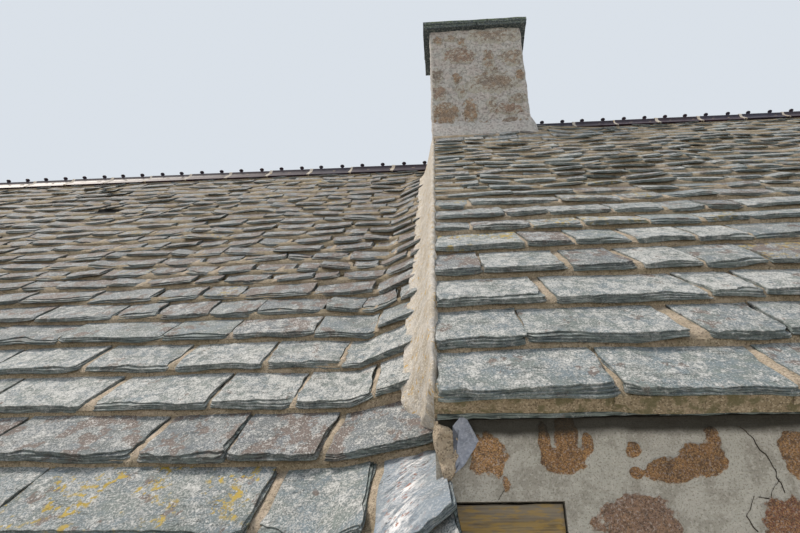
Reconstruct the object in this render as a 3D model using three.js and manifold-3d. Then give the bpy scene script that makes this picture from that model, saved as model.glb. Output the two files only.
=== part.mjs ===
// Stone-roofed cottage: a house and a lower wing in line, under graduated slate roofs.
// Millimetres, +Z up, X along the ridges, the front towards -Y, the ground at Z = 0.
import * as THREE from 'three';
import { mergeVertices } from 'three/addons/utils/BufferGeometryUtils.js';
import Module from 'manifold-3d';

const wasm = await Module();
wasm.setup();

// Plan of the whole building
const GAP = 0.3;
const LENGTH = 11600;
const WING_LENGTH = 5400;
const RIGHT_END = LENGTH / 2;
const LEFT_END = -RIGHT_END;
const JUNCTION = LEFT_END + WING_LENGTH;
const WALL_FACE = 3040;
const WALL_THICKNESS = 560;
const INNER_FACE = WALL_FACE - WALL_THICKNESS;
const VERGE_OVERHANG = 40;
const PARTY_THICKNESS = 820;

// Roofs: eaves is the distance from the ridge to the slate tails, in plan
const PITCH = THREE.MathUtils.degToRad(46.6);
const COS = Math.cos(PITCH);
const SIN = Math.sin(PITCH);
const TAN = Math.tan(PITCH);
const HOUSE = {
  left: JUNCTION,
  right: RIGHT_END,
  eaves: 3090,
  apex: 5546,
  lowerGauges: [250, 259, 263, 281, 256, 191, 219, 197],
};
const WING = {
  left: LEFT_END,
  right: JUNCTION - GAP,
  eaves: 3146,
  apex: 5165,
  lowerGauges: [249, 270, 239, 245, 236, 217, 200, 178],
};
const UPPER_GAUGE = 152;
const SLATE_STEP = 28;
const SLAB = 52;
const UNDER_SLATE = 10;
const UNDER_SLATE_LENGTH = 370;
const RIDGE_GAP = 0.2;

// Sweep of the wing's courses up to the taller gable, and the mortar fillet over the joint
const SWEEP_WIDTH = 250;
const SWEEP_RISE = 100;
const SWEEP_FADE = 600;
const SWEEP_END = 200;
const SWEEP_STEPS = 5;
const FILLET_FOOT = 112;
const FILLET_TOP = 14;
const FILLET_SUNK = 40;
const FILLET_START = 690;
const FILLET_CLEAR_OF_TILES = 160;

// Ridge tiles
const TILE_LEG = 150;
const TILE_THICKNESS = 20;
const ROLL_RADIUS = 24;
const ROLL_SUNK = 5;
const ROLL_SIDES = 16;
const KNOB_PITCH = 180;
const KNOB_HEIGHT = 34;
const KNOB_RADIUS = 13;
const KNOB_NECK = 9;
const KNOB_SIDES = 8;

// Chimney
const STACK_WIDTH = PARTY_THICKNESS;
const STACK_HALF_DEPTH = 240;
const STACK_TOP = 6535;
const FLUE_WIDTH = 300;
const FLUE_DEPTH = 240;
const CAP_THICKNESS = 75;
const CAP_OVERHANG = 65;
const SKIRT_FLARE = 50;
const SKIRT_RISE = 110;

// A slate is missing in the wing's front slope and leaves a vent hole
const VENT = { left: JUNCTION - 2446, right: JUNCTION - 2258, bottom: 3365, top: 3505 };

// Roof timbers
const BEAM = 150;
const RIDGE_BEAM_WIDTH = 140;
const RIDGE_BEAM_HEIGHT = 190;
const BEARING = 150;
const PURLIN_AT = 2350;
const TRUSS_FOOT = 2650;
const COLLAR_DROP = 1500;
const COLLAR_HALF = 1000;
const HALVING = 2;

// Openings in the walls: centre, clear width, sill and head
const LINTEL_HEIGHT = 150;
const LINTEL_DEPTH = 200;
const LINTEL_BEARING = 150;
const CUT_OVERLAP = 1;
const HEAD = 1920;
const FLOOR_TOP = 90;
const HOUSE_DOOR = { at: 2700, width: 950, sill: FLOOR_TOP, head: HEAD };
const HOUSE_LEFT_WINDOW = { at: 1250, width: 760, sill: 980, head: HEAD };
const HOUSE_RIGHT_WINDOW = { at: 4150, width: 760, sill: 980, head: HEAD };
const HOUSE_BACK_WINDOW = { at: 2700, width: 600, sill: 1180, head: HEAD };
const WING_WINDOW = { at: -3100, width: 560, sill: 900, head: 1450 };
const WING_DOOR = { at: 0, width: 920, sill: FLOOR_TOP, head: HEAD };
const REVEAL = 120;
const FRAME_DEPTH = 70;
const WINDOW_BAR = 55;
const DOOR_JAMB = 70;
const DOOR_LEAF = 45;
const GLASS = 4;

// Corner of the house's front wall
const CORNER_TIMBER = { left: 20, right: 263, depth: 200, bottom: 1910, top: 2070 };
const FLASHING_THICKNESS = 3;
const FLASHING_OUTLINE = [[66, 2231], [100, 2198], [57, 2154], [40, 2130], [56, 2190], [38, 2222]];
const BEDDING = { at: 28, height: 2180, radius: 27, tall: 38, proud: 30, sides: 20, rings: 14 };

// Finishes: colour, roughness, metalness
const RUBBLE = [0x96836a, 0.95, 0];
const SLATE = [0x7f8b8a, 0.85, 0];
const MORTAR = [0xb9a284, 0.95, 0];
const FILLET = [0xc9bba6, 0.95, 0];
const GLAZED_TILE = [0x4a3a3c, 0.35, 0];
const CAP_SLATE = [0x4f574a, 0.9, 0];
const WEATHERED_OAK = [0x86693c, 0.9, 0];
const ROOF_OAK = [0x6b5238, 0.9, 0];
const LEAD = [0x8d8f98, 0.5, 0.6];
const PAINTED_WOOD = [0x5d6f78, 0.6, 0];
const PANE = [0x9fb0b4, 0.1, 0];
const FLAGSTONE = [0x8c8678, 0.9, 0];

const model = new THREE.Group();

function addPart(name, geometry, [color, roughness, metalness]) {
  const material = new THREE.MeshStandardMaterial({ color, roughness, metalness });
  const mesh = new THREE.Mesh(geometry, material);
  mesh.name = name;
  model.add(mesh);
}

// Geometry and solids
function indexed(geometry) {
  geometry.deleteAttribute('normal');
  geometry.deleteAttribute('uv');
  return mergeVertices(geometry, 1e-3);
}

function toSolid(geometry) {
  const bare = indexed(geometry);
  return new wasm.Manifold(new wasm.Mesh({
    numProp: 3,
    vertProperties: Float32Array.from(bare.attributes.position.array),
    triVerts: Uint32Array.from(bare.index.array),
  }));
}

function toGeometry(solid) {
  const mesh = solid.getMesh();
  const geometry = new THREE.BufferGeometry();
  geometry.setAttribute('position', new THREE.BufferAttribute(mesh.vertProperties, 3));
  geometry.setIndex(new THREE.BufferAttribute(mesh.triVerts, 1));
  return geometry;
}

function mirroredToBack(geometry) {
  const back = indexed(geometry.clone());
  back.scale(1, -1, 1);
  const index = back.index.array;
  for (let i = 0; i < index.length; i += 3) {
    [index[i + 1], index[i + 2]] = [index[i + 2], index[i + 1]];
  }
  return back;
}

function block(x0, x1, y0, y1, z0, z1) {
  const geometry = new THREE.BoxGeometry(x1 - x0, y1 - y0, z1 - z0);
  return geometry.translate((x0 + x1) / 2, (y0 + y1) / 2, (z0 + z1) / 2);
}

function outline(points) {
  return new THREE.Shape(points.map(([a, b]) => new THREE.Vector2(a, b)));
}

function extruded(shape, depth, xAxis, yAxis, zAxis, origin, steps = 1) {
  const geometry = new THREE.ExtrudeGeometry(shape, { depth, steps, bevelEnabled: false });
  const place = new THREE.Matrix4().makeBasis(xAxis, yAxis, zAxis).setPosition(origin);
  return geometry.applyMatrix4(place);
}

const X = new THREE.Vector3(1, 0, 0);
const Y = new THREE.Vector3(0, 1, 0);
const Z = new THREE.Vector3(0, 0, 1);

// A section in Y and Z, drawn out along X
function alongX(shape, x0, x1, steps = 1) {
  return extruded(shape, x1 - x0, Y, Z, X, new THREE.Vector3(x0, 0, 0), steps);
}

// An elevation in X and Z, drawn out along Y
function alongY(shape, y0, y1) {
  return extruded(shape, y1 - y0, X, Z, Y.clone().negate(), new THREE.Vector3(0, y1, 0));
}

// Slopes: along runs up from the tails, over stands out from the plane of the tails
function slopePoint(range, along, over) {
  const eavesHeight = range.apex - range.eaves * TAN;
  const fromRidge = range.eaves - along * COS + over * SIN;
  return [-fromRidge, eavesHeight + along * SIN + over * COS];
}

function heightAt(range, fromRidge, over) {
  return range.apex - fromRidge * TAN + over / COS;
}

function slopeLength(range) {
  return range.eaves / COS;
}

function courseTails(range) {
  const tails = [0];
  for (const gauge of range.lowerGauges) tails.push(tails.at(-1) + gauge);
  const remaining = slopeLength(range) - tails.at(-1);
  const count = Math.round(remaining / UPPER_GAUGE);
  const start = tails.at(-1);
  for (let i = 1; i < count; i += 1) tails.push(start + i * remaining / count);
  return tails;
}

// Section of a front slope, stepped at the tail of each course; lift makes it larger all round
function slopeSection(range, lift = 0) {
  const points = [slopePoint(range, -lift, -SLAB), slopePoint(range, -lift, lift)];
  for (const tail of courseTails(range).slice(1)) {
    points.push(slopePoint(range, tail - lift, lift - SLATE_STEP));
    points.push(slopePoint(range, tail - lift, lift));
  }
  points.push([-RIDGE_GAP, heightAt(range, RIDGE_GAP, lift - SLATE_STEP)]);
  points.push([-RIDGE_GAP, heightAt(range, RIDGE_GAP, -SLAB)]);
  return outline(points);
}

function frontSlopeBlock(range, x0, x1, along0, along1, over0, over1) {
  const corners = [[along0, over0], [along1, over0], [along1, over1], [along0, over1]];
  return alongX(outline(corners.map(([a, o]) => slopePoint(range, a, o))), x0, x1);
}

// Roof slopes
function houseSlope() {
  const slope = toSolid(alongX(slopeSection(HOUSE), HOUSE.left, HOUSE.right));
  const roomForStack = block(
    HOUSE.left - GAP, HOUSE.left + STACK_WIDTH + GAP,
    -STACK_HALF_DEPTH - GAP, STACK_HALF_DEPTH, 0, STACK_TOP,
  );
  return toGeometry(slope.subtract(toSolid(roomForStack)));
}

function wingSlope(withVent) {
  const slope = alongX(slopeSection(WING), WING.left, WING.right - SWEEP_WIDTH);
  if (!withVent) return slope;
  const hole = frontSlopeBlock(WING, VENT.left, VENT.right, VENT.bottom, VENT.top, -2 * SLAB, SLAB);
  return toGeometry(toSolid(slope).subtract(toSolid(hole)));
}

function sweepRise(x, along) {
  const towardsGable = Math.max(0, 1 + (x - WING.right) / SWEEP_WIDTH);
  const belowRidge = (slopeLength(WING) - SWEEP_END - along) / SWEEP_FADE;
  return SWEEP_RISE * towardsGable * Math.min(1, Math.max(0, belowRidge));
}

// The courses beside the gable, lifted by the sweep; the underside stays flat
function sweptSlope(lift = 0) {
  const left = WING.right - SWEEP_WIDTH + GAP;
  const geometry = alongX(slopeSection(WING, lift), left, WING.right, SWEEP_STEPS);
  const position = geometry.attributes.position;
  const eavesHeight = WING.apex - WING.eaves * TAN;
  for (let i = 0; i < position.count; i += 1) {
    const out = -position.getY(i) - WING.eaves;
    const up = position.getZ(i) - eavesHeight;
    const along = up * SIN - out * COS;
    const over = up * COS + out * SIN;
    if (over < -SLAB + 1) continue;
    const rise = sweepRise(position.getX(i), along);
    position.setY(i, position.getY(i) - rise * SIN);
    position.setZ(i, position.getZ(i) + rise * COS);
  }
  return geometry;
}

function vergeFillet() {
  const top = (HOUSE.apex - WING.apex) * COS;
  const end = (WING.eaves - STACK_HALF_DEPTH - GAP + top * SIN) / COS;
  const section = outline([
    [WING.right - FILLET_FOOT, -FILLET_SUNK],
    [WING.right, -FILLET_SUNK],
    [WING.right, top],
    [WING.right - FILLET_TOP, top],
  ]);
  const over = new THREE.Vector3(0, -SIN, COS);
  const down = new THREE.Vector3(0, -COS, -SIN);
  const [y, z] = slopePoint(WING, end, 0);
  const band = extruded(section, end - FILLET_START, X, over, down, new THREE.Vector3(0, y, z));
  const roomForTiles = block(WING.right - FILLET_FOOT, WING.right,
    -FILLET_CLEAR_OF_TILES, FILLET_CLEAR_OF_TILES, 0, HOUSE.apex);
  return toGeometry(cut(toSolid(band), [sweptSlope(GAP), roomForTiles]));
}

function underSlates(range) {
  return frontSlopeBlock(
    range, range.left, range.right, 0, UNDER_SLATE_LENGTH, -SLAB - GAP - UNDER_SLATE, -SLAB - GAP,
  );
}

function addSlopePair(name, front, back, finish) {
  addPart(`${name}_front`, front, finish);
  addPart(`${name}_back`, mirroredToBack(back), finish);
}

// Ridge tiles: an angle with a roll and knobs along its top
function ridgeTiles(range, x0, x1) {
  const seat = [[TILE_LEG, GAP], [TILE_LEG, GAP + TILE_THICKNESS]];
  const [inner, outer] = seat.map(([leg, over]) => slopePoint(range, slopeLength(range) - leg, over));
  const innerApex = heightAt(range, 0, GAP);
  const outerApex = heightAt(range, 0, GAP + TILE_THICKNESS);
  const section = outline([
    inner, [0, innerApex], [-inner[0], inner[1]],
    [-outer[0], outer[1]], [0, outerApex], outer,
  ]);
  let tiles = toSolid(alongX(section, x0, x1));
  const rollCentre = range.apex + ROLL_RADIUS;
  const roll = new THREE.CylinderGeometry(ROLL_RADIUS, ROLL_RADIUS, x1 - x0, ROLL_SIDES);
  roll.rotateZ(Math.PI / 2).translate((x0 + x1) / 2, 0, rollCentre);
  const rollSolid = toSolid(roll).subtract(toSolid(block(x0, x1, -ROLL_RADIUS, ROLL_RADIUS,
    range.apex - ROLL_RADIUS, innerApex + ROLL_SUNK)));
  tiles = tiles.add(rollSolid);
  const count = Math.floor((x1 - x0) / KNOB_PITCH);
  const first = (x0 + x1 - (count - 1) * KNOB_PITCH) / 2;
  for (let i = 0; i < count; i += 1) {
    const knob = new THREE.CylinderGeometry(KNOB_RADIUS, KNOB_NECK, 2 * KNOB_HEIGHT, KNOB_SIDES);
    knob.rotateX(Math.PI / 2);
    knob.translate(first + i * KNOB_PITCH, 0, rollCentre + ROLL_RADIUS);
    tiles = tiles.add(toSolid(knob));
  }
  return toGeometry(tiles);
}

// Roof timbers of one range: ridge beam, two purlins and a truss with a collar
function roofTimbers(range, { x0, ridgeX0, x1 }, grow = 0) {
  const underside = -SLAB - GAP;
  const ridgeTop = heightAt(range, RIDGE_BEAM_WIDTH / 2, underside) + grow;
  let timbers = toSolid(block(ridgeX0 - grow, x1 + grow, -RIDGE_BEAM_WIDTH / 2 - grow,
    RIDGE_BEAM_WIDTH / 2 + grow, ridgeTop - RIDGE_BEAM_HEIGHT - 2 * grow, ridgeTop));
  const purlin = frontSlopeBlock(range, x0 - grow, x1 + grow, PURLIN_AT - BEAM / 2 - grow,
    PURLIN_AT + BEAM / 2 + grow, underside - BEAM - grow, underside + grow);
  timbers = timbers.add(toSolid(mirroredToBack(purlin))).add(toSolid(purlin));
  const middle = (x0 + x1) / 2;
  const upper = underside - BEAM + HALVING + grow;
  const lower = underside - 2 * BEAM + HALVING - grow;
  const foot = TRUSS_FOOT + grow;
  const principals = outline([
    [-foot, heightAt(range, foot, lower)], [0, heightAt(range, 0, lower)],
    [foot, heightAt(range, foot, lower)], [foot, heightAt(range, foot, upper)],
    [0, heightAt(range, 0, upper)], [-foot, heightAt(range, foot, upper)],
  ]);
  const half = BEAM / 2 + grow;
  timbers = timbers.add(toSolid(alongX(principals, middle - half, middle + half)));
  const collar = range.apex - COLLAR_DROP;
  return timbers.add(toSolid(block(middle - half, middle + half, -COLLAR_HALF, COLLAR_HALF,
    collar - BEAM / 2, collar + BEAM / 2)));
}

// Walls: along the front and back, up to the underside of the slates
function longWallSection(range) {
  const [stepY, stepLow] = slopePoint(range, UNDER_SLATE_LENGTH + GAP, -SLAB - UNDER_SLATE - 2 * GAP);
  const [stepTopY, stepHigh] = slopePoint(range, UNDER_SLATE_LENGTH + GAP, -SLAB - GAP);
  return outline([
    [-WALL_FACE, 0], [-INNER_FACE, 0],
    [-INNER_FACE, heightAt(range, INNER_FACE, -SLAB - GAP)],
    [stepTopY, stepHigh], [stepY, stepLow],
    [-WALL_FACE, heightAt(range, WALL_FACE, -SLAB - UNDER_SLATE - 2 * GAP)],
  ]);
}

function gableSection(range, flatHalf) {
  const side = INNER_FACE - GAP;
  const shoulder = heightAt(range, side, -SLAB - GAP);
  const top = heightAt(range, flatHalf, -SLAB - GAP);
  return outline([
    [-side, 0], [side, 0], [side, shoulder], [flatHalf, top], [-flatHalf, top], [-side, shoulder],
  ]);
}

function openingBlocks(opening, side) {
  const { at, width, sill, head } = opening;
  const far = side * (WALL_FACE + WALL_THICKNESS);
  const near = side * (INNER_FACE - WALL_THICKNESS);
  const back = side * (WALL_FACE - LINTEL_DEPTH);
  const reach = width / 2 + LINTEL_BEARING;
  return [
    block(at - width / 2, at + width / 2, Math.min(far, near), Math.max(far, near), sill, head),
    block(at - reach, at + reach, Math.min(far, back), Math.max(far, back), head - CUT_OVERLAP,
      head + LINTEL_HEIGHT),
  ];
}

function cut(solid, geometries) {
  return geometries.reduce((rest, geometry) => rest.subtract(toSolid(geometry)), solid);
}

// The gable door's blocks are those of a long wall, turned a quarter and set at the gable
function turnedToLeftGable(geometry) {
  return geometry.rotateZ(-Math.PI / 2).translate(LEFT_END + VERGE_OVERHANG + WALL_FACE, 0, 0);
}

function lintel(opening, side) {
  const { at, width, head } = opening;
  const reach = width / 2 + LINTEL_BEARING - GAP;
  const face = side * WALL_FACE;
  const back = side * (WALL_FACE - LINTEL_DEPTH + GAP);
  return block(at - reach, at + reach, Math.min(face, back), Math.max(face, back),
    head, head + LINTEL_HEIGHT - GAP);
}

function windowFrame(opening, side) {
  const { at, width, sill, head } = opening;
  const half = width / 2 - GAP;
  const frame = outline([[at - half, sill + GAP], [at + half, sill + GAP],
    [at + half, head - GAP], [at - half, head - GAP]]);
  const inner = half - WINDOW_BAR;
  frame.holes.push(outline([[at - inner, sill + WINDOW_BAR], [at - inner, head - WINDOW_BAR],
    [at + inner, head - WINDOW_BAR], [at + inner, sill + WINDOW_BAR]]));
  const y = side * (WALL_FACE - REVEAL - FRAME_DEPTH / 2);
  return alongY(frame, y - FRAME_DEPTH / 2, y + FRAME_DEPTH / 2);
}

function windowGlass(opening, side) {
  const { at, width, sill, head } = opening;
  const half = width / 2 - 2 * GAP - WINDOW_BAR;
  const y = side * (WALL_FACE - REVEAL - FRAME_DEPTH / 2);
  return block(at - half, at + half, y - GLASS / 2, y + GLASS / 2,
    sill + WINDOW_BAR + GAP, head - WINDOW_BAR - GAP);
}

function doorFrame({ at, width, sill, head }) {
  const half = width / 2 - GAP;
  const inner = half - DOOR_JAMB;
  const frame = outline([
    [at - half, sill + GAP], [at - inner, sill + GAP], [at - inner, head - DOOR_JAMB],
    [at + inner, head - DOOR_JAMB], [at + inner, sill + GAP], [at + half, sill + GAP],
    [at + half, head - GAP], [at - half, head - GAP],
  ]);
  return alongY(frame, -WALL_FACE + REVEAL, -WALL_FACE + REVEAL + FRAME_DEPTH);
}

function doorLeaf({ at, width, sill, head }) {
  const half = width / 2 - 2 * GAP - DOOR_JAMB;
  return block(at - half, at + half, -WALL_FACE + REVEAL, -WALL_FACE + REVEAL + DOOR_LEAF,
    sill + GAP, head - DOOR_JAMB - GAP);
}

// Long walls and gables
const rightWallEnd = RIGHT_END - VERGE_OVERHANG;
const leftWallEnd = LEFT_END + VERGE_OVERHANG;
const houseBeams = {
  x0: JUNCTION + PARTY_THICKNESS - BEARING,
  ridgeX0: JUNCTION + STACK_WIDTH + GAP,
  x1: rightWallEnd - WALL_THICKNESS + BEARING,
};
const wingBeams = {
  x0: leftWallEnd + WALL_THICKNESS - BEARING,
  ridgeX0: leftWallEnd + WALL_THICKNESS - BEARING,
  x1: JUNCTION + BEARING,
};
const houseTimberRoom = roofTimbers(HOUSE, houseBeams, GAP);
const wingTimberRoom = roofTimbers(WING, wingBeams, GAP);

function cornerTimberBlock(grow) {
  const { left, right, depth, bottom, top } = CORNER_TIMBER;
  return block(JUNCTION + left - grow, JUNCTION + right + grow, -WALL_FACE - grow,
    -WALL_FACE + depth + grow, bottom - grow, top + grow);
}

function houseFrontWall() {
  const wall = toSolid(alongX(longWallSection(HOUSE), JUNCTION, rightWallEnd));
  const openings = [HOUSE_DOOR, HOUSE_LEFT_WINDOW, HOUSE_RIGHT_WINDOW];
  const cuts = openings.flatMap((opening) => openingBlocks(opening, -1));
  return toGeometry(cut(wall, [...cuts, cornerTimberBlock(GAP)]).subtract(houseTimberRoom));
}

function houseBackWall() {
  const wall = toSolid(mirroredToBack(alongX(longWallSection(HOUSE), JUNCTION, rightWallEnd)));
  return toGeometry(cut(wall, openingBlocks(HOUSE_BACK_WINDOW, 1)).subtract(houseTimberRoom));
}

function wingFrontWall() {
  const wall = toSolid(alongX(longWallSection(WING), leftWallEnd, WING.right));
  return toGeometry(cut(wall, openingBlocks(WING_WINDOW, -1)).subtract(wingTimberRoom));
}

function wingBackWall() {
  const wall = toSolid(mirroredToBack(alongX(longWallSection(WING), leftWallEnd, WING.right)));
  return toGeometry(wall.subtract(wingTimberRoom));
}

function partyGable() {
  const section = gableSection(HOUSE, STACK_HALF_DEPTH);
  const gable = toSolid(alongX(section, JUNCTION, JUNCTION + PARTY_THICKNESS));
  return toGeometry(gable.subtract(houseTimberRoom).subtract(wingTimberRoom));
}

function houseRightGable() {
  const gable = alongX(gableSection(HOUSE, RIDGE_GAP), rightWallEnd - WALL_THICKNESS, rightWallEnd);
  return toGeometry(toSolid(gable).subtract(houseTimberRoom));
}

function wingLeftGable() {
  const gable = alongX(gableSection(WING, RIDGE_GAP), leftWallEnd, leftWallEnd + WALL_THICKNESS);
  const cuts = openingBlocks(WING_DOOR, -1).map(turnedToLeftGable);
  return toGeometry(cut(toSolid(gable), cuts).subtract(wingTimberRoom));
}

addPart('house_front_wall', houseFrontWall(), RUBBLE);
addPart('house_back_wall', houseBackWall(), RUBBLE);
addPart('house_right_gable', houseRightGable(), RUBBLE);
addPart('party_gable', partyGable(), RUBBLE);
addPart('wing_front_wall', wingFrontWall(), RUBBLE);
addPart('wing_back_wall', wingBackWall(), RUBBLE);
addPart('wing_left_gable', wingLeftGable(), RUBBLE);

// Floors, between the inner faces
function floorSlab(x0, x1) {
  return block(x0 + GAP, x1 - GAP, -INNER_FACE + GAP, INNER_FACE - GAP, 0, FLOOR_TOP);
}

addPart('house_floor',
  floorSlab(JUNCTION + PARTY_THICKNESS, rightWallEnd - WALL_THICKNESS), FLAGSTONE);
addPart('wing_floor', floorSlab(leftWallEnd + WALL_THICKNESS, JUNCTION), FLAGSTONE);

addPart('house_roof_timbers', toGeometry(roofTimbers(HOUSE, houseBeams)), ROOF_OAK);
addPart('wing_roof_timbers', toGeometry(roofTimbers(WING, wingBeams)), ROOF_OAK);

// Roof coverings
addSlopePair('house_roof', houseSlope(), houseSlope(), SLATE);
addSlopePair('wing_roof', wingSlope(true), wingSlope(false), SLATE);
addSlopePair('wing_sweep', sweptSlope(), sweptSlope(), SLATE);
addSlopePair('house_eaves_slates', underSlates(HOUSE), underSlates(HOUSE), SLATE);
addSlopePair('wing_eaves_slates', underSlates(WING), underSlates(WING), SLATE);
addSlopePair('verge_fillet', vergeFillet(), vergeFillet(), FILLET);

const stackRight = JUNCTION + STACK_WIDTH;
addPart('house_ridge_tiles',
  ridgeTiles(HOUSE, stackRight + SKIRT_FLARE + GAP, HOUSE.right), GLAZED_TILE);
addPart('wing_ridge_tiles', ridgeTiles(WING, WING.left, WING.right), GLAZED_TILE);

// Chimney: a hollow stack on the party gable, a capping with the flue through it, a mortar skirt
const stackFoot = heightAt(HOUSE, STACK_HALF_DEPTH, -SLAB - GAP) + GAP;
const stackCentre = JUNCTION + STACK_WIDTH / 2;

function withFlue(geometry) {
  const flue = block(stackCentre - FLUE_WIDTH / 2, stackCentre + FLUE_WIDTH / 2,
    -FLUE_DEPTH / 2, FLUE_DEPTH / 2, 0, 2 * STACK_TOP);
  return toGeometry(toSolid(geometry).subtract(toSolid(flue)));
}

addPart('chimney_stack', withFlue(block(JUNCTION, stackRight,
  -STACK_HALF_DEPTH, STACK_HALF_DEPTH, stackFoot, STACK_TOP)), RUBBLE);
addPart('chimney_cap', withFlue(block(JUNCTION - CAP_OVERHANG, stackRight + CAP_OVERHANG,
  -STACK_HALF_DEPTH - CAP_OVERHANG, STACK_HALF_DEPTH + CAP_OVERHANG,
  STACK_TOP + GAP, STACK_TOP + GAP + CAP_THICKNESS)), CAP_SLATE);

function chimneySkirt() {
  const reach = STACK_HALF_DEPTH + SKIRT_FLARE;
  const low = [GAP, SKIRT_RISE].map((over) => heightAt(HOUSE, reach, over));
  const ridge = [GAP, SKIRT_RISE].map((over) => heightAt(HOUSE, 0, over));
  const section = outline([
    [-reach, low[0]], [0, ridge[0]], [reach, low[0]],
    [reach, low[1]], [0, ridge[1]], [-reach, low[1]],
  ]);
  const skirt = toSolid(alongX(section, JUNCTION, stackRight + SKIRT_FLARE));
  return toGeometry(skirt.subtract(toSolid(block(JUNCTION - GAP, stackRight + GAP,
    -STACK_HALF_DEPTH - GAP, STACK_HALF_DEPTH + GAP, 0, STACK_TOP))));
}

addPart('chimney_skirt', chimneySkirt(), MORTAR);

// Corner of the house beside the wing: timber end, bent metal flashing and a lump of bedding
addPart('corner_timber', cornerTimberBlock(0), WEATHERED_OAK);
addPart('corner_flashing', alongY(outline(FLASHING_OUTLINE.map(([x, z]) => [JUNCTION + x, z])),
  -WALL_FACE - GAP - FLASHING_THICKNESS, -WALL_FACE - GAP), LEAD);

function cornerBedding() {
  const { at, height, radius, tall, proud, sides, rings } = BEDDING;
  const lump = new THREE.SphereGeometry(1, sides, rings).scale(radius, proud, tall);
  lump.translate(JUNCTION + at, -WALL_FACE, height);
  const wallSide = block(JUNCTION - WALL_FACE, JUNCTION + WALL_FACE, -WALL_FACE - GAP, 0, 0, WALL_FACE);
  const flashingLeft = Math.min(...FLASHING_OUTLINE.map(([x]) => x));
  const flashingSide = block(JUNCTION + flashingLeft - GAP, JUNCTION + WALL_FACE,
    -WALL_FACE - WALL_THICKNESS, 0, 0, WALL_FACE);
  return toGeometry(cut(toSolid(lump), [wallSide, flashingSide]));
}

addPart('corner_bedding', cornerBedding(), MORTAR);

// Doors
addPart('house_door', doorLeaf(HOUSE_DOOR), PAINTED_WOOD);
addPart('house_door_frame', doorFrame(HOUSE_DOOR), PAINTED_WOOD);
addPart('house_door_lintel', lintel(HOUSE_DOOR, -1), WEATHERED_OAK);
addPart('wing_door', turnedToLeftGable(doorLeaf(WING_DOOR)), PAINTED_WOOD);
addPart('wing_door_frame', turnedToLeftGable(doorFrame(WING_DOOR)), PAINTED_WOOD);
addPart('wing_door_lintel', turnedToLeftGable(lintel(WING_DOOR, -1)), WEATHERED_OAK);

// Windows
const WINDOWS = [
  ['house_left_window', HOUSE_LEFT_WINDOW, -1],
  ['house_right_window', HOUSE_RIGHT_WINDOW, -1],
  ['house_back_window', HOUSE_BACK_WINDOW, 1],
  ['wing_window', WING_WINDOW, -1],
];
for (const [name, opening, side] of WINDOWS) {
  addPart(`${name}_frame`, windowFrame(opening, side), PAINTED_WOOD);
  addPart(`${name}_glass`, windowGlass(opening, side), PANE);
  addPart(`${name}_lintel`, lintel(opening, side), WEATHERED_OAK);
}

export default model;
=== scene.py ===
"""Stone-roofed cottage: the finish of a low rubble house and wing under graduated slate roofs.

Metres, +Z up. X runs along the ridges, the front faces -Y. On a slope, along runs up from the
tails of the first course and over stands out from the plane of the tails.
"""

import math

import bmesh
import bpy
import numpy as np
from mathutils import Matrix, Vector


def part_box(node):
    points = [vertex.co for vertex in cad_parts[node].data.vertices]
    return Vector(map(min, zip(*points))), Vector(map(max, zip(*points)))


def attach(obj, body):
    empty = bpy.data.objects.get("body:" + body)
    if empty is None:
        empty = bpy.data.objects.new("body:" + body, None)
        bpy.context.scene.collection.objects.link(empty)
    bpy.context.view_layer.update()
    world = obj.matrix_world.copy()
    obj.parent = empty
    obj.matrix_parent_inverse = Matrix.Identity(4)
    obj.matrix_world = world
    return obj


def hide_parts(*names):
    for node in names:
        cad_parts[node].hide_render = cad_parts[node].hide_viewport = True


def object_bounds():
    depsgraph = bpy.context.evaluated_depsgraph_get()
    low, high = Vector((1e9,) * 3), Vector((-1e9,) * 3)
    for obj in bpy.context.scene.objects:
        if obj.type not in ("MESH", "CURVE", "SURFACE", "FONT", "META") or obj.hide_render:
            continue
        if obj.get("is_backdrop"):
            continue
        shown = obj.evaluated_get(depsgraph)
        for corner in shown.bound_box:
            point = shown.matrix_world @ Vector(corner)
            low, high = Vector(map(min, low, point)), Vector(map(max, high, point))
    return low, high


bl_info = {
    "name": "Stone-roofed cottage",
    "version": (1, 0, 0),
    "blender": (4, 5, 0),
    "location": "View3D > Sidebar > Cottage",
    "description": "Lays the slates, mortar, stones and joinery of a stone-roofed cottage",
    "category": "Add Mesh",
}

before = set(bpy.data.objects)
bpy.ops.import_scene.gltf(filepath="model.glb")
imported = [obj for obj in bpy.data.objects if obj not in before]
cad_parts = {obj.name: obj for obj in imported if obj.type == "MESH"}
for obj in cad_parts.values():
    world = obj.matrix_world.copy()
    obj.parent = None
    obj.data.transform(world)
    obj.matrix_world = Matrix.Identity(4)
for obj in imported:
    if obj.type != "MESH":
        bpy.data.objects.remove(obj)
CAD_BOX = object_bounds()

# The frame's driving dimensions
PITCH = math.radians(46.6)
COS, SIN, TAN = math.cos(PITCH), math.sin(PITCH), math.tan(PITCH)
FRONT, BACK = -1, 1
WORDS = {FRONT: "front", BACK: "back"}
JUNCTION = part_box("party_gable")[0].x
RIGHT_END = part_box("house_roof_front")[1].x
LEFT_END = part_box("wing_roof_front")[0].x
WALL_FACE = -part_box("house_front_wall")[0].y
WALL_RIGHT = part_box("house_right_gable")[1].x
WALL_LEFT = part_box("wing_left_gable")[0].x
STACK_LOW, STACK_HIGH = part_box("chimney_stack")
CAP_LOW, CAP_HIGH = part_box("chimney_cap")
SKIRT_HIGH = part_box("chimney_skirt")[1]

# Exposed length of the upper courses, and how many courses from the eaves the lower pieces hold
UPPER_GAUGE = 0.152
LOW_COURSES = 6
# Height of the painted shade and soot on the walls under the eaves
HOUSE_SOFFIT, WING_SOFFIT = 2.24, 1.86
# The house's courses lifted beside the stack: how wide, from how far below the ridge, how high
LIFTED_WIDTH, LIFTED_FROM, LIFT_AT_STACK = 0.62, 0.75, 0.040
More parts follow.
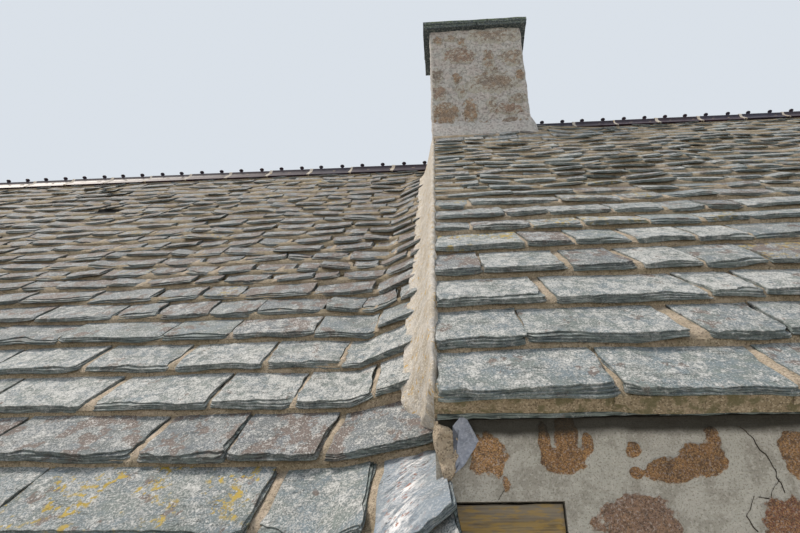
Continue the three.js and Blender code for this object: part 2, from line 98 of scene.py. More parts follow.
# The wing's courses swept up at the taller gable: how wide, how high, fading over, end below the ridge
SWEEP_WIDTH, SWEEP_RISE, SWEEP_FADE, SWEEP_END = 0.25, 0.10, 0.60, 0.20
# The missing slate: X of its sides, and along at its tail and head
VENT_LEFT, VENT_RIGHT, VENT_BOTTOM, VENT_TOP = -2.846, -2.658, 3.365, 3.505
# Where the camera stands. Slates are made finest near it
EYE = (JUNCTION + 0.025, -4.43, 1.90)


class Range:
    """One range of the building and its roof."""

    def __init__(self, name, left, right, eaves, apex, gauges):
        self.name, self.left, self.right = name, left, right
        self.eaves, self.apex = eaves, apex
        self.eaves_height = apex - eaves * TAN
        self.length = eaves / COS
        self.tails = list(np.cumsum([0.0] + gauges))
        remaining = self.length - self.tails[-1]
        count = round(remaining / UPPER_GAUGE)
        start = self.tails[-1]
        self.tails += [start + i * remaining / count for i in range(1, count + 1)]

    def place(self, side, x, along, over):
        """Points on the front or back slope, as an array."""
        y = side * (self.eaves - along * COS + over * SIN)
        return columns(x, y, self.eaves_height + along * SIN + over * COS)

    def rise(self, x, along):
        """How far the courses are lifted beside the taller gable and at the foot of the stack."""
        if self.name == "house":
            beside = np.clip((STACK_HIGH.x + LIFTED_WIDTH - x) / LIFTED_WIDTH, 0, 1)
            below = np.clip((along - self.length + LIFTED_FROM) / (LIFTED_FROM - 0.35), 0, 1)
            return LIFT_AT_STACK * beside * below ** 2
        towards_gable = np.maximum(0, 1 + (x - self.right) / SWEEP_WIDTH)
        fade = np.clip((self.length - SWEEP_END - along) / SWEEP_FADE, 0, 1)
        return SWEEP_RISE * towards_gable * fade


HOUSE = Range("house", JUNCTION, RIGHT_END, 3.090, 5.546,
              [0.250, 0.259, 0.263, 0.281, 0.256, 0.191, 0.219, 0.197])
WING = Range("wing", LEFT_END, JUNCTION - 0.0003, 3.146, 5.165,
             [0.249, 0.270, 0.239, 0.245, 0.236, 0.217, 0.200, 0.178])

# How far the tails hang below their course: X and drop, from left to right
HANGS = {
    ("house", 0): ([-0.4, 0, 0.04, 0.9, 1.3], [0.004, 0.006, 0.016, 0.018, 0]),
    ("wing", 1): ([-1.7, -1.2, -0.8, -0.72, -0.69, -0.56, -0.5, -0.43, -0.4, -0.36],
                  [0, 0.022, 0.038, 0.045, 0.06, 0.06, 0.15, 0.14, 0.11, 0.086]),
    ("wing", 2): ([-1.7, -1.25, -0.8, -0.55, -0.47, -0.4], [0, 0.01, 0.026, 0.03, 0.036, 0.03]),
    ("wing", 3): ([-1.7, -1.1, -0.8, -0.55, -0.4], [0, 0.006, 0.008, 0.006, 0]),
}
# How much of the sweep the wing's first courses take at tail and head, and where their last slab ends
SWEEP_SHARE = {1: (1, 0.4), 2: (0.55, 0.55), 3: (0.95, 0.95)}
SLAB_ENDS = {0: (0.06, 0.03), 1: (0.04, 0.012), 2: (0.009, 0.006)}

# Crust of the courses nearest the eye: growth and tone
CRUSTS = {
    ("wing", 1): (0.5, 0.15), ("wing", 2): (0.2, 1),
    ("wing", 3): (1, 0), ("wing", 4): (0.8, 0.1),
    ("house", 0): (0.35, 0.05), ("house", 1): (0.6, 0.15), ("house", 2): (1, 0.05),
}

# Joints of the courses near the eaves: X at the tail, X at the head, width at the tail
HOUSE_JOINTS = [
    [(0, -0.01, 0.02), (0.37, 0.363, 0.034)],
    [(-0.165, -0.162, 0.014), (0.26, 0.236, 0.06)],
    [(-0.062, -0.074, 0.04), (0.395, 0.345, 0.02), (0.543, 0.543, 0.014)],
    [(-0.237, -0.241, 0.012), (0.048, 0.041, 0.03), (0.275, 0.234, 0.036), (0.48, 0.448, 0.022),
     (0.68, 0.677, 0.025)],
    [(-0.057, -0.07, 0.022), (0.125, 0.112, 0.02), (0.338, 0.32, 0.034), (0.565, 0.56, 0.024),
     (0.765, 0.757, 0.012)],
    [(-0.241, -0.245, 0.012), (0.001, -0.004, 0.014), (0.216, 0.212, 0.016), (0.475, 0.462, 0.018),
     (0.685, 0.676, 0.018), (0.87, 0.862, 0.014)],
    [(-0.086, -0.09, 0.012), (0.104, 0.098, 0.014), (0.381, 0.37, 0.018), (0.61, 0.602, 0.014),
     (0.782, 0.776, 0.014)],
    [(-0.227, -0.232, 0.022), (0.199, 0.196, 0.012), (0.488, 0.48, 0.014), (0.693, 0.688, 0.012),
     (0.92, 0.912, 0.014)],
    [(0, -0.004, 0.012), (0.307, 0.301, 0.016), (0.626, 0.62, 0.014), (0.814, 0.808, 0.014),
     (1.025, 1.018, 0.012)],
]
WING_JOINTS = [
    [(-1.61, -1.605, 0.016), (-1.09, -1.098, 0.02), (-0.7, -0.694, 0.022)],
    [(-1.43, -1.42, 0.014), (-0.803, -0.787, 0.036), (-0.542, -0.542, 0.034)],
    [(-1.64, -1.623, 0.02), (-1.198, -1.176, 0.03), (-0.945, -0.938, 0.016),
     (-0.695, -0.67, 0.03)],
    [(-1.8, -1.8, 0.012), (-1.46, -1.428, 0.04), (-1.08, -1.069, 0.022),
     (-0.822, -0.813, 0.014), (-0.584, -0.585, 0.02)],
    [(-1.605, -1.6, 0.03), (-1.293, -1.28, 0.036), (-0.975, -0.974, 0.024),
     (-0.715, -0.71, 0.012)],
    [(-1.83, -1.822, 0.016), (-1.424, -1.418, 0.018), (-1.17, -1.165, 0.016),
     (-0.849, -0.842, 0.014), (-0.615, -0.612, 0.016)],
]


def linear(hex_colour):
    """An sRGB hex colour as linear red, green and blue."""
    channels = [int(hex_colour[i:i + 2], 16) / 255 for i in (1, 3, 5)]
    return tuple(c / 12.92 if c <= 0.04045 else ((c + 0.055) / 1.055) ** 2.4 for c in channels)


def colour_property(name, description, hex_colour):
    """A colour that the sidebar shows."""
    return bpy.props.FloatVectorProperty(name=name, description=description, subtype="COLOR",
                                         size=3, min=0.0, max=1.0, default=linear(hex_colour))


def length_property(name, description, default):
    """A length in metres that the sidebar shows."""
    return bpy.props.FloatProperty(name=name, description=description, default=default,
                                   subtype="DISTANCE", unit="LENGTH", precision=4)


class CottageRoof(bpy.types.PropertyGroup):
    """Sizes of the slates, their bedding and the ridge tiles"""

    slate_thickness: length_property("Slate thickness", "Thickness of a slate at its tail", 0.020)
    slate_narrow: length_property("Narrowest slate", "Least width of a slate", 0.19)
    slate_wide: length_property("Widest slate", "Greatest width of a slate near the eaves", 0.46)
    tail_lift: length_property("Tail lift", "Height of a tail's top over the tails' plane", 0.021)
    head_sink: length_property("Head sink", "Depth of a slate's top where the next covers it", 0.014)
    overhang: length_property("Overhang", "How far a slate reaches past its bedding", 0.008)
    joint: length_property("Joint", "Usual width of the mortar between two slates", 0.013)
    tile_length: length_property("Ridge tile length", "Exposed length of a ridge tile", 0.357)
    undercloak: length_property("Undercloak", "Thickness of the slates under the eaves course", 0.011)


class CottageMasonry(bpy.types.PropertyGroup):
    """Sizes of the stones in the walls and the stack"""

    stone_low: length_property("Lowest stone", "Least height of a stone", 0.12)
    stone_high: length_property("Highest stone", "Greatest height of a stone", 0.27)
    stone_narrow: length_property("Narrowest stone", "Least width of a stone", 0.16)
    stone_wide: length_property("Widest stone", "Greatest width of a stone", 0.46)
    joint: length_property("Joint", "Mortar between two stones", 0.045)
    proud: length_property("Proud", "How far a stone stands out of its mortar", 0.009)


class CottageJoinery(bpy.types.PropertyGroup):
    """Sizes of the doors and windows"""

    board: length_property("Board", "Width of a door board", 0.132)
    groove: length_property("Groove", "Width of the groove between two boards", 0.008)
    strap: length_property("Strap", "Height of a strap hinge", 0.042)
    glazing_bar: length_property("Glazing bar", "Width of a window's inner bars", 0.022)


class CottageColours(bpy.types.PropertyGroup):
    """Main colours of the finishes"""

    slate_blue: colour_property("Blue slate", "The bluer of the two slate colours", "#77838a")
    slate_green: colour_property("Green slate", "The greener of the two slate colours", "#777f79")
    # The edge colour is dark broken stone with painted shade of the tails, which face away from the light
    slate_edge_and_shade: colour_property("Slate edge", "Broken edges of the slates", "#363f3e")
    lichen: colour_property("Lichen", "Pale crust of lichen on the slates", "#c3c1bd")
    ochre_lichen: colour_property("Ochre lichen", "Yellow lichen on slates and mortar", "#a58d3c")
    bedding: colour_property("Bedding mortar", "Mortar under the tails", "#95866f")
    pointing: colour_property("Pointing mortar", "Mortar between the slates", "#b5a492")
    verge: colour_property("Verge mortar", "Pale mortar of the verge", "#b9b3ab")
    wall: colour_property("Wall mortar", "Flush mortar of the walls", "#afaba0")
    granite: colour_property("Granite", "Usual colour of the stones", "#9a8a78")
    rust: colour_property("Rusty granite", "Colour of the iron-stained stones", "#a0703f")
    glaze: colour_property("Ridge tile glaze", "Glaze of the ridge tiles", "#2c1d26")
    oak: colour_property("Weathered oak", "Timber end and lintels", "#927e57")
    paint: colour_property("Paint", "Paint on the doors and windows", "#5d6f78")


class CottageStage(bpy.types.PropertyGroup):
    """Camera, floor and light"""

    eye: bpy.props.FloatVectorProperty(name="Eye", description="Where the camera stands", size=3,
                                       subtype="TRANSLATION", unit="LENGTH", default=EYE)
    raised: bpy.props.FloatProperty(name="Raised", description="How far the camera looks up",
                                    subtype="ANGLE", default=math.radians(27.57))
    turned: bpy.props.FloatProperty(name="Turned", description="How far the camera turns left",
                                    subtype="ANGLE", default=math.radians(4.2))
    lens: bpy.props.FloatProperty(name="Lens", description="Focal length in millimetres",
                                  default=28.26, min=10.0)
    sky: colour_property("Backdrop", "Plain backdrop and fill light", "#dfe6ee")
    floor: colour_property("Floor", "Plain pale floor", "#c4c1ba")


SETTINGS = {"roof": CottageRoof, "masonry": CottageMasonry, "joinery": CottageJoinery,
            "colours": CottageColours, "stage": CottageStage}


def settings(group):
    """The scene's settings of one group."""
    return getattr(bpy.context.scene, "cottage_" + group)


# Random heights and shapes
LATTICE = np.random.default_rng(11).random((64, 64)) * 2 - 1


def rough(x, y, size, seed=0.0):
    """Smooth random heights from -1 to 1, with bumps of the given size."""
    gx, gy = x / size + 17.31 * seed, y / size + 9.17 * seed
    ix, iy = np.floor(gx).astype(int), np.floor(gy).astype(int)
    fx, fy = gx - ix, gy - iy
    fx, fy = fx * fx * (3 - 2 * fx), fy * fy * (3 - 2 * fy)
    low = LATTICE[ix % 64, iy % 64] * (1 - fx) + LATTICE[(ix + 1) % 64, iy % 64] * fx
    high = LATTICE[ix % 64, (iy + 1) % 64] * (1 - fx) + LATTICE[(ix + 1) % 64, (iy + 1) % 64] * fx
    return low * (1 - fy) + high * fy


def mix(a, b, t):
    """Between a and b."""
    return a + (b - a) * t


def columns(*parts):
    """Numbers and arrays side by side, as the columns of one array."""
    return np.stack(np.broadcast_arrays(*parts), axis=-1)


def follow(line, share):
    """Distance along a line of points and the two coordinates there, at shares of its length."""
    reach = np.concatenate([[0], np.cumsum(np.linalg.norm(np.diff(line, axis=0), axis=1))])
    at = share * reach[-1]
    return at, np.interp(at, reach, line[:, 0]), np.interp(at, reach, line[:, 1])


class Shape:
    """A small closed shape from bmesh operators, kept as arrays so that many copies can be laid."""

    def __init__(self, bm):
        bm.verts.index_update()
        self.points = np.array([v.co for v in bm.verts], float)
        faces = [[v.index for v in f.verts] for f in bm.faces]
        self.starts = np.cumsum([0] + [len(f) for f in faces[:-1]])
        self.corners = np.array([i for f in faces for i in f])
        self.mirrored = np.array([i for f in faces for i in reversed(f)])
        bm.free()


def slab(across, along, rings=1):
    """A unit slab: x across, y from tail to head, z from 0 on the face down to -1 at the back."""
    bm = bmesh.new()
    bmesh.ops.create_grid(bm, x_segments=across, y_segments=along, size=0.5)
    bmesh.ops.translate(bm, verts=bm.verts, vec=(0.5, 0.5, 0))
    rim = [e for e in bm.edges if e.is_boundary]
    for _ in range(rings):
        grown = bmesh.ops.extrude_edge_only(bm, edges=rim)["geom"]
        verts = [g for g in grown if isinstance(g, bmesh.types.BMVert)]
        bmesh.ops.translate(bm, verts=verts, vec=(0, 0, -1 / rings))
        rim = [g for g in grown if isinstance(g, bmesh.types.BMEdge) and g.is_boundary]
    bmesh.ops.edgeloop_fill(bm, edges=rim)
    # The back is cut into strips, so that it bends as the face does
    back = [v for v in bm.verts if v.co.z < -0.999]
    for i in range(1, across):
        pair = [v for v in back if abs(v.co.x - i / across) < 1e-5]
        bmesh.ops.connect_verts(bm, verts=pair)
    bmesh.ops.recalc_face_normals(bm, faces=bm.faces)
    return Shape(bm)


class Pile:
    """Copies of shapes, each bent to its own place, joined into one mesh."""

    def __init__(self):
        self.points, self.corners, self.starts = [], [], []
        self.stone, self.finish = [], []
        self.count, self.loops = 0, 0

    def add(self, shape, points, finish=(0, 0, 0, 0), stone=None, mirrored=False):
        """Lays one copy. finish is tone, edge, growth and stain, stone places the grain if points don't."""
        self.corners.append((shape.mirrored if mirrored else shape.corners) + self.count)
        self.starts.append(shape.starts + self.loops)
        self.points.append(points)
        self.stone.append(points if stone is None else stone)
        self.finish.append(np.broadcast_to(columns(*finish), (len(points), 4)))
        self.count += len(points)
        self.loops += len(shape.corners)

    def add_on_slope(self, shape, run, side, place, finish=(0, 0, 0, 0), stone=None, lift=0.0):
        """Lays one copy on a roof. place is x, along and over, and lift raises it after its grain is set."""
        x, along, over = place
        grain = columns(x, along, over) if stone is None else stone
        self.add(shape, run.place(side, x, along, over + lift), finish, grain, side == BACK)

    def piece(self, name, material, slot, smooth_angle=40):
        """The finished piece, riding on the building."""
        mesh = bpy.data.meshes.new(name)
        starts, corners = np.concatenate(self.starts), np.concatenate(self.corners)
        mesh.vertices.add(self.count)
        mesh.loops.add(len(corners))
        mesh.polygons.add(len(starts))
        mesh.vertices.foreach_set("co", np.concatenate(self.points).ravel())
        mesh.loops.foreach_set("vertex_index", corners)
        mesh.polygons.foreach_set("loop_start", starts)
        mesh.update(calc_edges=True)
        stone = mesh.attributes.new("stone", "FLOAT_VECTOR", "POINT")
        stone.data.foreach_set("vector", np.concatenate(self.stone).ravel())
        finish = mesh.attributes.new("finish", "FLOAT_COLOR", "POINT")
        finish.data.foreach_set("color", np.concatenate(self.finish).ravel())
        mesh.shade_smooth()
        mesh.set_sharp_from_angle(angle=math.radians(smooth_angle))
        return riding(name, mesh, material)


def riding(name, mesh, material):
    """A piece of the building from its mesh."""
    mesh.materials.append(material)
    piece = bpy.data.objects.new(name, mesh)
    bpy.context.scene.collection.objects.link(piece)
    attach(piece, "root")
    return piece


# Finishes
def rgba(colour):
    """A hex or linear colour with full opacity. A socket stays as it is."""
    if isinstance(colour, bpy.types.NodeSocket):
        return colour
    return (*(linear(colour) if isinstance(colour, str) else colour), 1.0)


class Finish:
    """A material being made: its surface, the place of its patterns and its colour so far."""

    def __init__(self, name, colour, roughness, stones=False, **shading):
        self.material = bpy.data.materials.new(name)
        self.material.use_nodes = True
        self.tree = self.material.node_tree
        self.surface = self.tree.nodes["Principled BSDF"].inputs
        for socket, value in shading.items():
            self.surface[socket.replace("_", " ")].default_value = value
        self.surface["Roughness"].default_value = roughness
        self.body = colour
        self.place = self.world = self.add("TexCoord")["Object"]
        if stones:
            self.place = self.add("Attribute", attribute_name="stone")["Vector"]

    def add(self, kind, links=None, **values):
        """Adds a node with its own values, and numbers or sockets for its inputs. Returns its outputs."""
        node = self.tree.nodes.new("ShaderNode" + kind)
        for name, value in values.items():
            setattr(node, name, value)
        self.connect(node.inputs, links or {})
        return node.outputs

    def connect(self, inputs, links):
        """Gives each named input its number or its socket."""
        for name, value in links.items():
            if isinstance(value, bpy.types.NodeSocket):
                self.tree.links.new(value, inputs[name])
            else:
                inputs[name].default_value = value

    def own(self):
        """The tone, edge, growth and stain of each laid stone or slate. Frame nodes have none of them."""
        finish = self.add("Attribute", attribute_name="finish")
        return *self.add("SeparateColor", {"Color": finish["Color"]})[0:3], finish["Alpha"]

    def blend(self, under, over, amount, *others):
        """One colour laid over another, as far as all the amounts allow."""
        for other in others:
            amount = self.add("Math", {0: amount, 1: other}, operation="MULTIPLY")[0]
        return self.add("Mix", {0: amount, 6: rgba(under), 7: rgba(over)}, data_type="RGBA")[2]

    def lay(self, colour, *amounts):
        """Lays a colour over what there is."""
        self.body = self.blend(self.body, colour, *amounts)

    def grain(self, scale, detail=2.0, frayed=0.5, place=None):
        """Cloudy grain, as fine as the scale says, or drawn out by a scale for each of X, Y and Z."""
        scale = scale if isinstance(scale, tuple) else (scale, scale, scale)
        scaled = self.add("Mapping", {"Vector": place or self.place, "Scale": scale})[0]
        return self.add("TexNoise", {"Vector": scaled, "Scale": 1.0, "Detail": detail,
                                     "Roughness": frayed})[0]

    def patches(self, size, cover, softness=0.03, detail=5.0, seed=0.0, more=None, frayed=0.6,
                drawn=(1.0, 1.0, 1.0)):
        """Patches of about the given size in metres; cover 0.5 is half, and more adds up to half."""
        place = self.place
        if drawn != (1.0, 1.0, 1.0):
            place = self.add("Mapping", {"Vector": place, "Scale": drawn})[0]
        moved = self.add("Mapping", {"Vector": place, "Location": (seed, seed, seed)})[0]
        height = self.add("TexNoise", {"Vector": moved, "Scale": 1 / size, "Detail": detail,
                                       "Roughness": frayed})[0]
        if more:
            height = self.add("Math", {0: more, 1: 0.13, 2: height}, operation="MULTIPLY_ADD")[0]
        edge = 0.5 + 0.26 * (0.5 - cover)
        return self.add("MapRange", {"Value": height, "From Min": edge - softness,
                                     "From Max": edge + softness}, interpolation_type="SMOOTHSTEP")[0]

    def sand(self, fineness, *shades):
        """Grains of sand in shades of a colour, the chances where it starts and ends, and a strength."""
        grains = self.add("TexVoronoi", {"Vector": self.place, "Scale": fineness})
        chances = self.add("SeparateColor", {"Color": grains["Color"]})
        for chance, (colour, low, high, strength) in zip(chances, shades):
            picked = self.add("MapRange", {"Value": chance, "From Min": low, "From Max": high})[0]
            self.lay(colour, picked, strength)
        return grains["Distance"]

    def done(self, *reliefs):
        """The material with its colour and its reliefs: height, depth in metres and strength of each."""
        surface = {"Base Color": rgba(self.body)}
        for height, depth, strength in reliefs:
            links = {"Height": height, "Distance": depth, "Strength": strength}
            if "Normal" in surface:
                links["Normal"] = surface["Normal"]
            surface["Normal"] = self.add("Bump", links)[0]
        self.connect(self.surface, surface)
        return self.material


def riven_schist():
    """Schist split by hand: dull blue and green greys under a crust of lichen, dark where broken, with
    painted shade on its broken edges and in its cleavage slots.
    """
    colours = settings("colours")
    made = Finish("riven_schist", colours.slate_blue, 0.82, stones=True, Specular_IOR_Level=0.35)
    tone, edge, growth, stain = made.own()
    # Two greys in clouds 90 mm wide, and each slate a little lighter or darker
    made.lay(colours.slate_green, made.patches(0.09, 0.5, 0.12))
    made.lay("#5d5a60", tone, 0.72)
    # Silky streaks along the grain, 4 mm by 40 mm
    made.lay("#525d5e", made.grain((25.0, 220.0, 60.0), 4.0), 0.6)
    # Pale crust in frayed blotches of 30 mm and flecks of 4 mm, more of it on some slates and in clouds
    lying = (1.0, 0.62, 1.0)
    gather = made.patches(0.11, 0.5, 0.12, seed=3.0, drawn=lying)
    crust = made.patches(0.030, 0.16, 0.055, 9.0, 7.0, growth, 0.78, lying)
    made.lay("#a4a4a1", crust, 0.66)
    made.lay(colours.lichen, made.patches(0.0042, 0.02, 0.05, 2.0, 9.0, gather, drawn=lying), 0.50)
    # Brown crust 60 mm across with frayed edges, bright specks, dark pits and nests of ochre lichen
    made.lay("#68574e", made.patches(0.070, -0.02, 0.018, 9.0, 21.0, tone, 0.66, lying), 0.8)
    made.lay("#cfcdc9", made.patches(0.0048, -0.02, 0.03, 2.0, 17.0, crust, drawn=lying), 0.6)
    made.lay("#4c5453", made.patches(0.005, 0.18, 0.04, 3.0, 11.0, drawn=lying), 0.6)
    ochre = made.patches(0.018, 0.36, 0.015, seed=13.0, drawn=lying)
    made.lay(colours.ochre_lichen, ochre, made.patches(0.08, 0.40, 0.04, seed=14.0, drawn=lying), stain)
    # A slate whose tone is below 0 is bluer, with quartz and rust where its growth is high
    blue = made.add("MapRange", {"Value": tone, "From Min": 0.0, "From Max": -1.0})[0]
    made.lay("#8b94a4", blue, 0.4)
    vein = made.patches(0.020, 0.42, 0.05, 6.0, 18.0, frayed=0.7, drawn=(0.4, 1.2, 1.0))
    made.lay("#e0dedd", vein, blue, growth, 0.9)
    made.lay("#8f5c47", made.patches(0.013, 0.05, 0.02, 3.0, 15.0), blue, growth, 0.9)
    # Cleavage slots along the grain, 1 to 2 mm wide, with painted shade in them
    lines = made.grain((7.0, 40.0, 40.0), 4.0, 0.6)
    thin = made.add("Math", {0: lines, 1: 0.47, 2: 0.007}, operation="COMPARE")[0]
    some = made.patches(0.13, 0.34, 0.04, seed=16.0)
    slot = made.add("Math", {0: thin, 1: some}, operation="MULTIPLY")[0]
    made.lay("#323835", slot, 0.85)
    # Broken edges: dark stone with painted shade, as the tails face away from the light, in leaves about 3 mm
    # thick with pale rims
    leaves = made.grain((18.0, 18.0, 330.0), 4.0, 0.65)
    rims = made.add("MapRange", {"Value": leaves, "From Min": 0.43, "From Max": 0.60})[0]
    kept = made.patches(0.022, 0.36, 0.05, seed=19.0)
    bare = made.add("Math", {0: kept, 1: -0.5, 2: 1.0}, operation="MULTIPLY_ADD")[0]
    made.lay(made.blend(colours.slate_edge_and_shade, "#8f9a96", rims, 0.75), edge, bare)
    # Relief: fine grain, crust 1 mm thick, slots and leaves
    fine = made.grain((150.0, 93.0, 150.0), 6.0, 0.7)
    return made.done((fine, 0.0022, 0.8), (crust, 0.0010, 0.8), (slot, -0.0020, 0.8), (leaves, 0.003, 0.6))


def in_vent(made):
    """Two amounts that are both 1 only inside the vent hole, where a slate is missing."""
    across = made.add("SeparateXYZ", {"Vector": made.world})[0]
    along = made.add("VectorMath", {0: made.world, 1: (0, COS, SIN)}, operation="DOT_PRODUCT")["Value"]
    start = WING.eaves_height * SIN - WING.eaves * COS
    sides = ((across, VENT_LEFT, VENT_RIGHT), (along, start + VENT_BOTTOM, start + VENT_TOP))
    return [made.add("Math", {0: value, 1: (low + high) / 2, 2: (high - low) / 2 + 0.003},
                     operation="COMPARE")[0] for value, low, high in sides]


def lime_bedding(name="lime_bedding", stones=True):
    """Lime mortar with coarse sand: tan under the tails, where it is damp, and cream in the joints."""
    colours = settings("colours")
    made = Finish(name, colours.bedding, 0.95, stones)
    tone, _, growth, _ = made.own()
    made.lay(colours.pointing, tone)
    made.lay("#6f6247", made.patches(0.06, 0.5, 0.10), 0.35)
    # Sand of 1 to 3 mm
    grains = made.sand(300.0, ("#c9bba3", 0.66, 0.9, 0.42), ("#463b2d", 0.66, 0.9, 0.60))
    made.lay("#5f5b3f", made.patches(0.03, 0.38, 0.06, seed=5.0), growth)
    # Painted shade, with some soot and damp, makes the mortar in the vent hole nearly black
    made.lay("#14120f", *in_vent(made))
    return made.done((made.grain(120.0, 6.0, 0.7), 0.004, 0.8), (grains, 0.002, 0.5))


def verge_mortar(name="verge_mortar"):
    """Pale lime mortar worn by rain: sandy, grey in places, with small yellow and grey lichens."""
    made = Finish(name, settings("colours").verge, 0.95, stones=True)
    made.lay("#a79c8c", made.patches(0.05, 0.45, 0.10))
    made.lay("#8f8578", made.patches(0.006, 0.35, 0.04), 0.5)
    grains = made.sand(260.0, ("#e6dccb", 0.7, 1.0, 0.6))
    made.lay("#b58f3c", made.patches(0.02, 0.04, 0.02), 0.8)
    return made.done((made.grain(90.0, 7.0, 0.7), 0.006, 0.8), (grains, 0.002, 0.5))


def flush_mortar(made):
    """The colour of grey-beige lime mortar, faintly blotched."""
    mortar = made.blend(settings("colours").wall, "#b0aba1", made.patches(0.16, 0.5, 0.12))
    mortar = made.blend(mortar, "#857f73", made.patches(0.05, 0.4, 0.08), 0.55)
    mortar = made.blend(mortar, "#c2bdb3", made.patches(0.010, 0.25, 0.04), 0.5)
    return made.blend(mortar, "#6b6458", made.patches(0.004, 0.24, 0.04), 0.55)


def shade_under_eaves(made, height):
    """Painted shade of the eaves, with some soot, in a band close under the eaves of a long wall, and not on
    the wall's end.
    """
    across, level = made.add("SeparateXYZ", {"Vector": made.world})[1:3]
    away = made.add("Math", {0: across}, operation="ABSOLUTE")[0]
    outer = made.add("Math", {0: away, 1: WALL_FACE - 0.03}, operation="GREATER_THAN")[0]
    waver = made.grain(9.0, place=made.world)
    line = made.add("Math", {0: waver, 1: 0.03, 2: level}, operation="MULTIPLY_ADD")[0]
    band = made.add("MapRange", {"Value": line, "From Min": height - 0.030, "From Max": height - 0.008},
                    interpolation_type="SMOOTHSTEP")[0]
    # Nearly black: mostly painted shade under the eaves, partly soot
    made.lay("#1d1a10", band, outer, 0.93)


def trowelled(made):
    """Relief of trowel strokes, 3 mm by 60 mm, and sand."""
    strokes = made.grain((16.0, 16.0, 200.0), 3.0)
    return (strokes, 0.003, 0.6), (made.grain(140.0, 6.0, 0.7), 0.004, 0.8)


def wall_mortar(name, eaves=0.0):
    """Flush lime pointing smoothed by trowel."""
    made = Finish(name, settings("colours").wall, 0.93)
    made.body = flush_mortar(made)
    if eaves:
        # Painted shade, with some soot, in a band under the eaves
        shade_under_eaves(made, eaves)
    return made.done(*trowelled(made))


def rubble_mortar(name, pale):
    """Mortar thrown roughly between stones: pinkish grey, with painted light on pale lumps and painted shade
    in dark hollows of 18 mm.
    """
    made = Finish(name, settings("colours").wall, 0.95)
    made.body = flush_mortar(made)
    made.lay("#ae9a91", made.patches(0.08, 0.45, 0.06), 0.6)
    made.lay("#b9b6b3", pale)
    # Pale lumps of 16 mm are painted light and dark hollows painted shade, standing for the shadows of the
    # rough surface
    made.lay("#cbc3bc", made.patches(0.016, 0.42, 0.04, 6.0, 4.0), 0.45)
    shaded_hollows = made.patches(0.018, 0.26, 0.03, 6.0, 8.0)
    made.lay("#5f564d", shaded_hollows, 0.55 - 0.35 * pale)
    return made.done((made.grain(32.0, 7.0, 0.65), 0.016, 0.9), (shaded_hollows, -0.006, 0.8))


def rough_granite(name, eaves=0.0):
    """Coarse granite, some of it rusted: speckled crystals of 3 to 5 mm, partly smeared with mortar."""
    colours = settings("colours")
    made = Finish(name, colours.granite, 0.9, stones=True)
    tone, shade, smear, red = made.own()
    clouds = made.patches(0.05, 0.5, 0.12)
    made.lay("#857c72", clouds)
    made.lay(made.blend(colours.rust, "#6d4c30", clouds), tone)
    made.lay("#85503f", red, 0.7)
    # Golden, dark and pale crystals, then pocks of 15 mm painted as the shade of a rough face, and each
    # stone's own darkness
    made.lay("#cba068", made.patches(0.0032, 0.42, 0.04, 3.0, 1.0), tone, 0.8)
    made.lay("#3a2b20", made.patches(0.0030, 0.32, 0.04, 3.0, 2.0), 0.7)
    made.lay("#b9aca2", made.patches(0.005, 0.2, 0.04, seed=3.0), 0.6)
    made.lay("#46382d", made.patches(0.015, 0.26, 0.04, 6.0, 6.0), 0.5)
    made.lay("#4a3b31", shade, 0.8)
    total = made.add("Math", {0: made.grain(45.0, 6.0, 0.72), 1: smear}, operation="ADD")[0]
    smeared = made.add("MapRange", {"Value": total, "From Min": 0.93, "From Max": 1.05},
                       interpolation_type="SMOOTHSTEP")[0]
    made.lay(flush_mortar(made), smeared)
    if eaves:
        # Painted shade, with some soot, in a band under the eaves
        shade_under_eaves(made, eaves)
    return made.done(*trowelled(made))


def glazed_earthenware():
    """Earthenware under a dark brown lead glaze: glossy, redder where the glaze is thin."""
    made = Finish("glazed_earthenware", settings("colours").glaze, 0.5, stones=True, Specular_IOR_Level=0.22)
    tone, thin, _, _ = made.own()
    made.lay("#262434", tone)
    made.lay("#4d3038", thin, 0.6)
    made.lay("#241d22", made.patches(0.05, 0.4, 0.1), 0.5)
    made.lay("#6f6670", made.patches(0.012, 0.12, 0.04), 0.2)
    return made.done((made.grain(40.0, 3.0), 0.002, 0.4))


def weathered_oak():
    """Oak silvered and oiled by weather: open grain of 2 to 4 mm along X, yellow-brown and grey."""
    made = Finish("weathered_oak", "#5b4a32", 0.85)
    grain = made.grain((7.0, 240.0, 240.0), 5.0, 0.6)
    bands = made.add("MapRange", {"Value": grain, "From Min": 0.36, "From Max": 0.64})[0]
    made.lay(settings("colours").oak, bands)
    made.lay("#7e766b", made.patches(0.035, 0.5, 0.10, drawn=(0.2, 1.0, 1.0)), 0.7)
    made.lay("#a58438", made.patches(0.016, 0.42, 0.06, drawn=(0.35, 1.0, 1.6)), 0.5)
    return made.done((grain, 0.004, 0.9))


def old_oak():
    """Sawn oak indoors: fine grain along X, brown, dull."""
    made = Finish("old_oak", "#4b3a29", 0.85)
    grain = made.grain((5.0, 120.0, 120.0), 4.0)
    made.lay("#6f5840", grain)
    return made.done((grain, 0.003, 0.6))


def weathered_paint():
    """Oil paint on boards, brushed upright and chalked by the sun, worn through in specks."""
    made = Finish("weathered_paint", settings("colours").paint, 0.6)
    strokes = made.grain((300.0, 300.0, 14.0), 3.0)
    made.lay("#75868d", made.patches(0.12, 0.5, 0.12))
    made.lay("#4a5a62", strokes, 0.5)
    made.lay("#8b7a62", made.patches(0.012, 0.12, 0.02, drawn=(1.0, 1.0, 0.3)), 0.8)
    return made.done((strokes, 0.0012, 0.6))


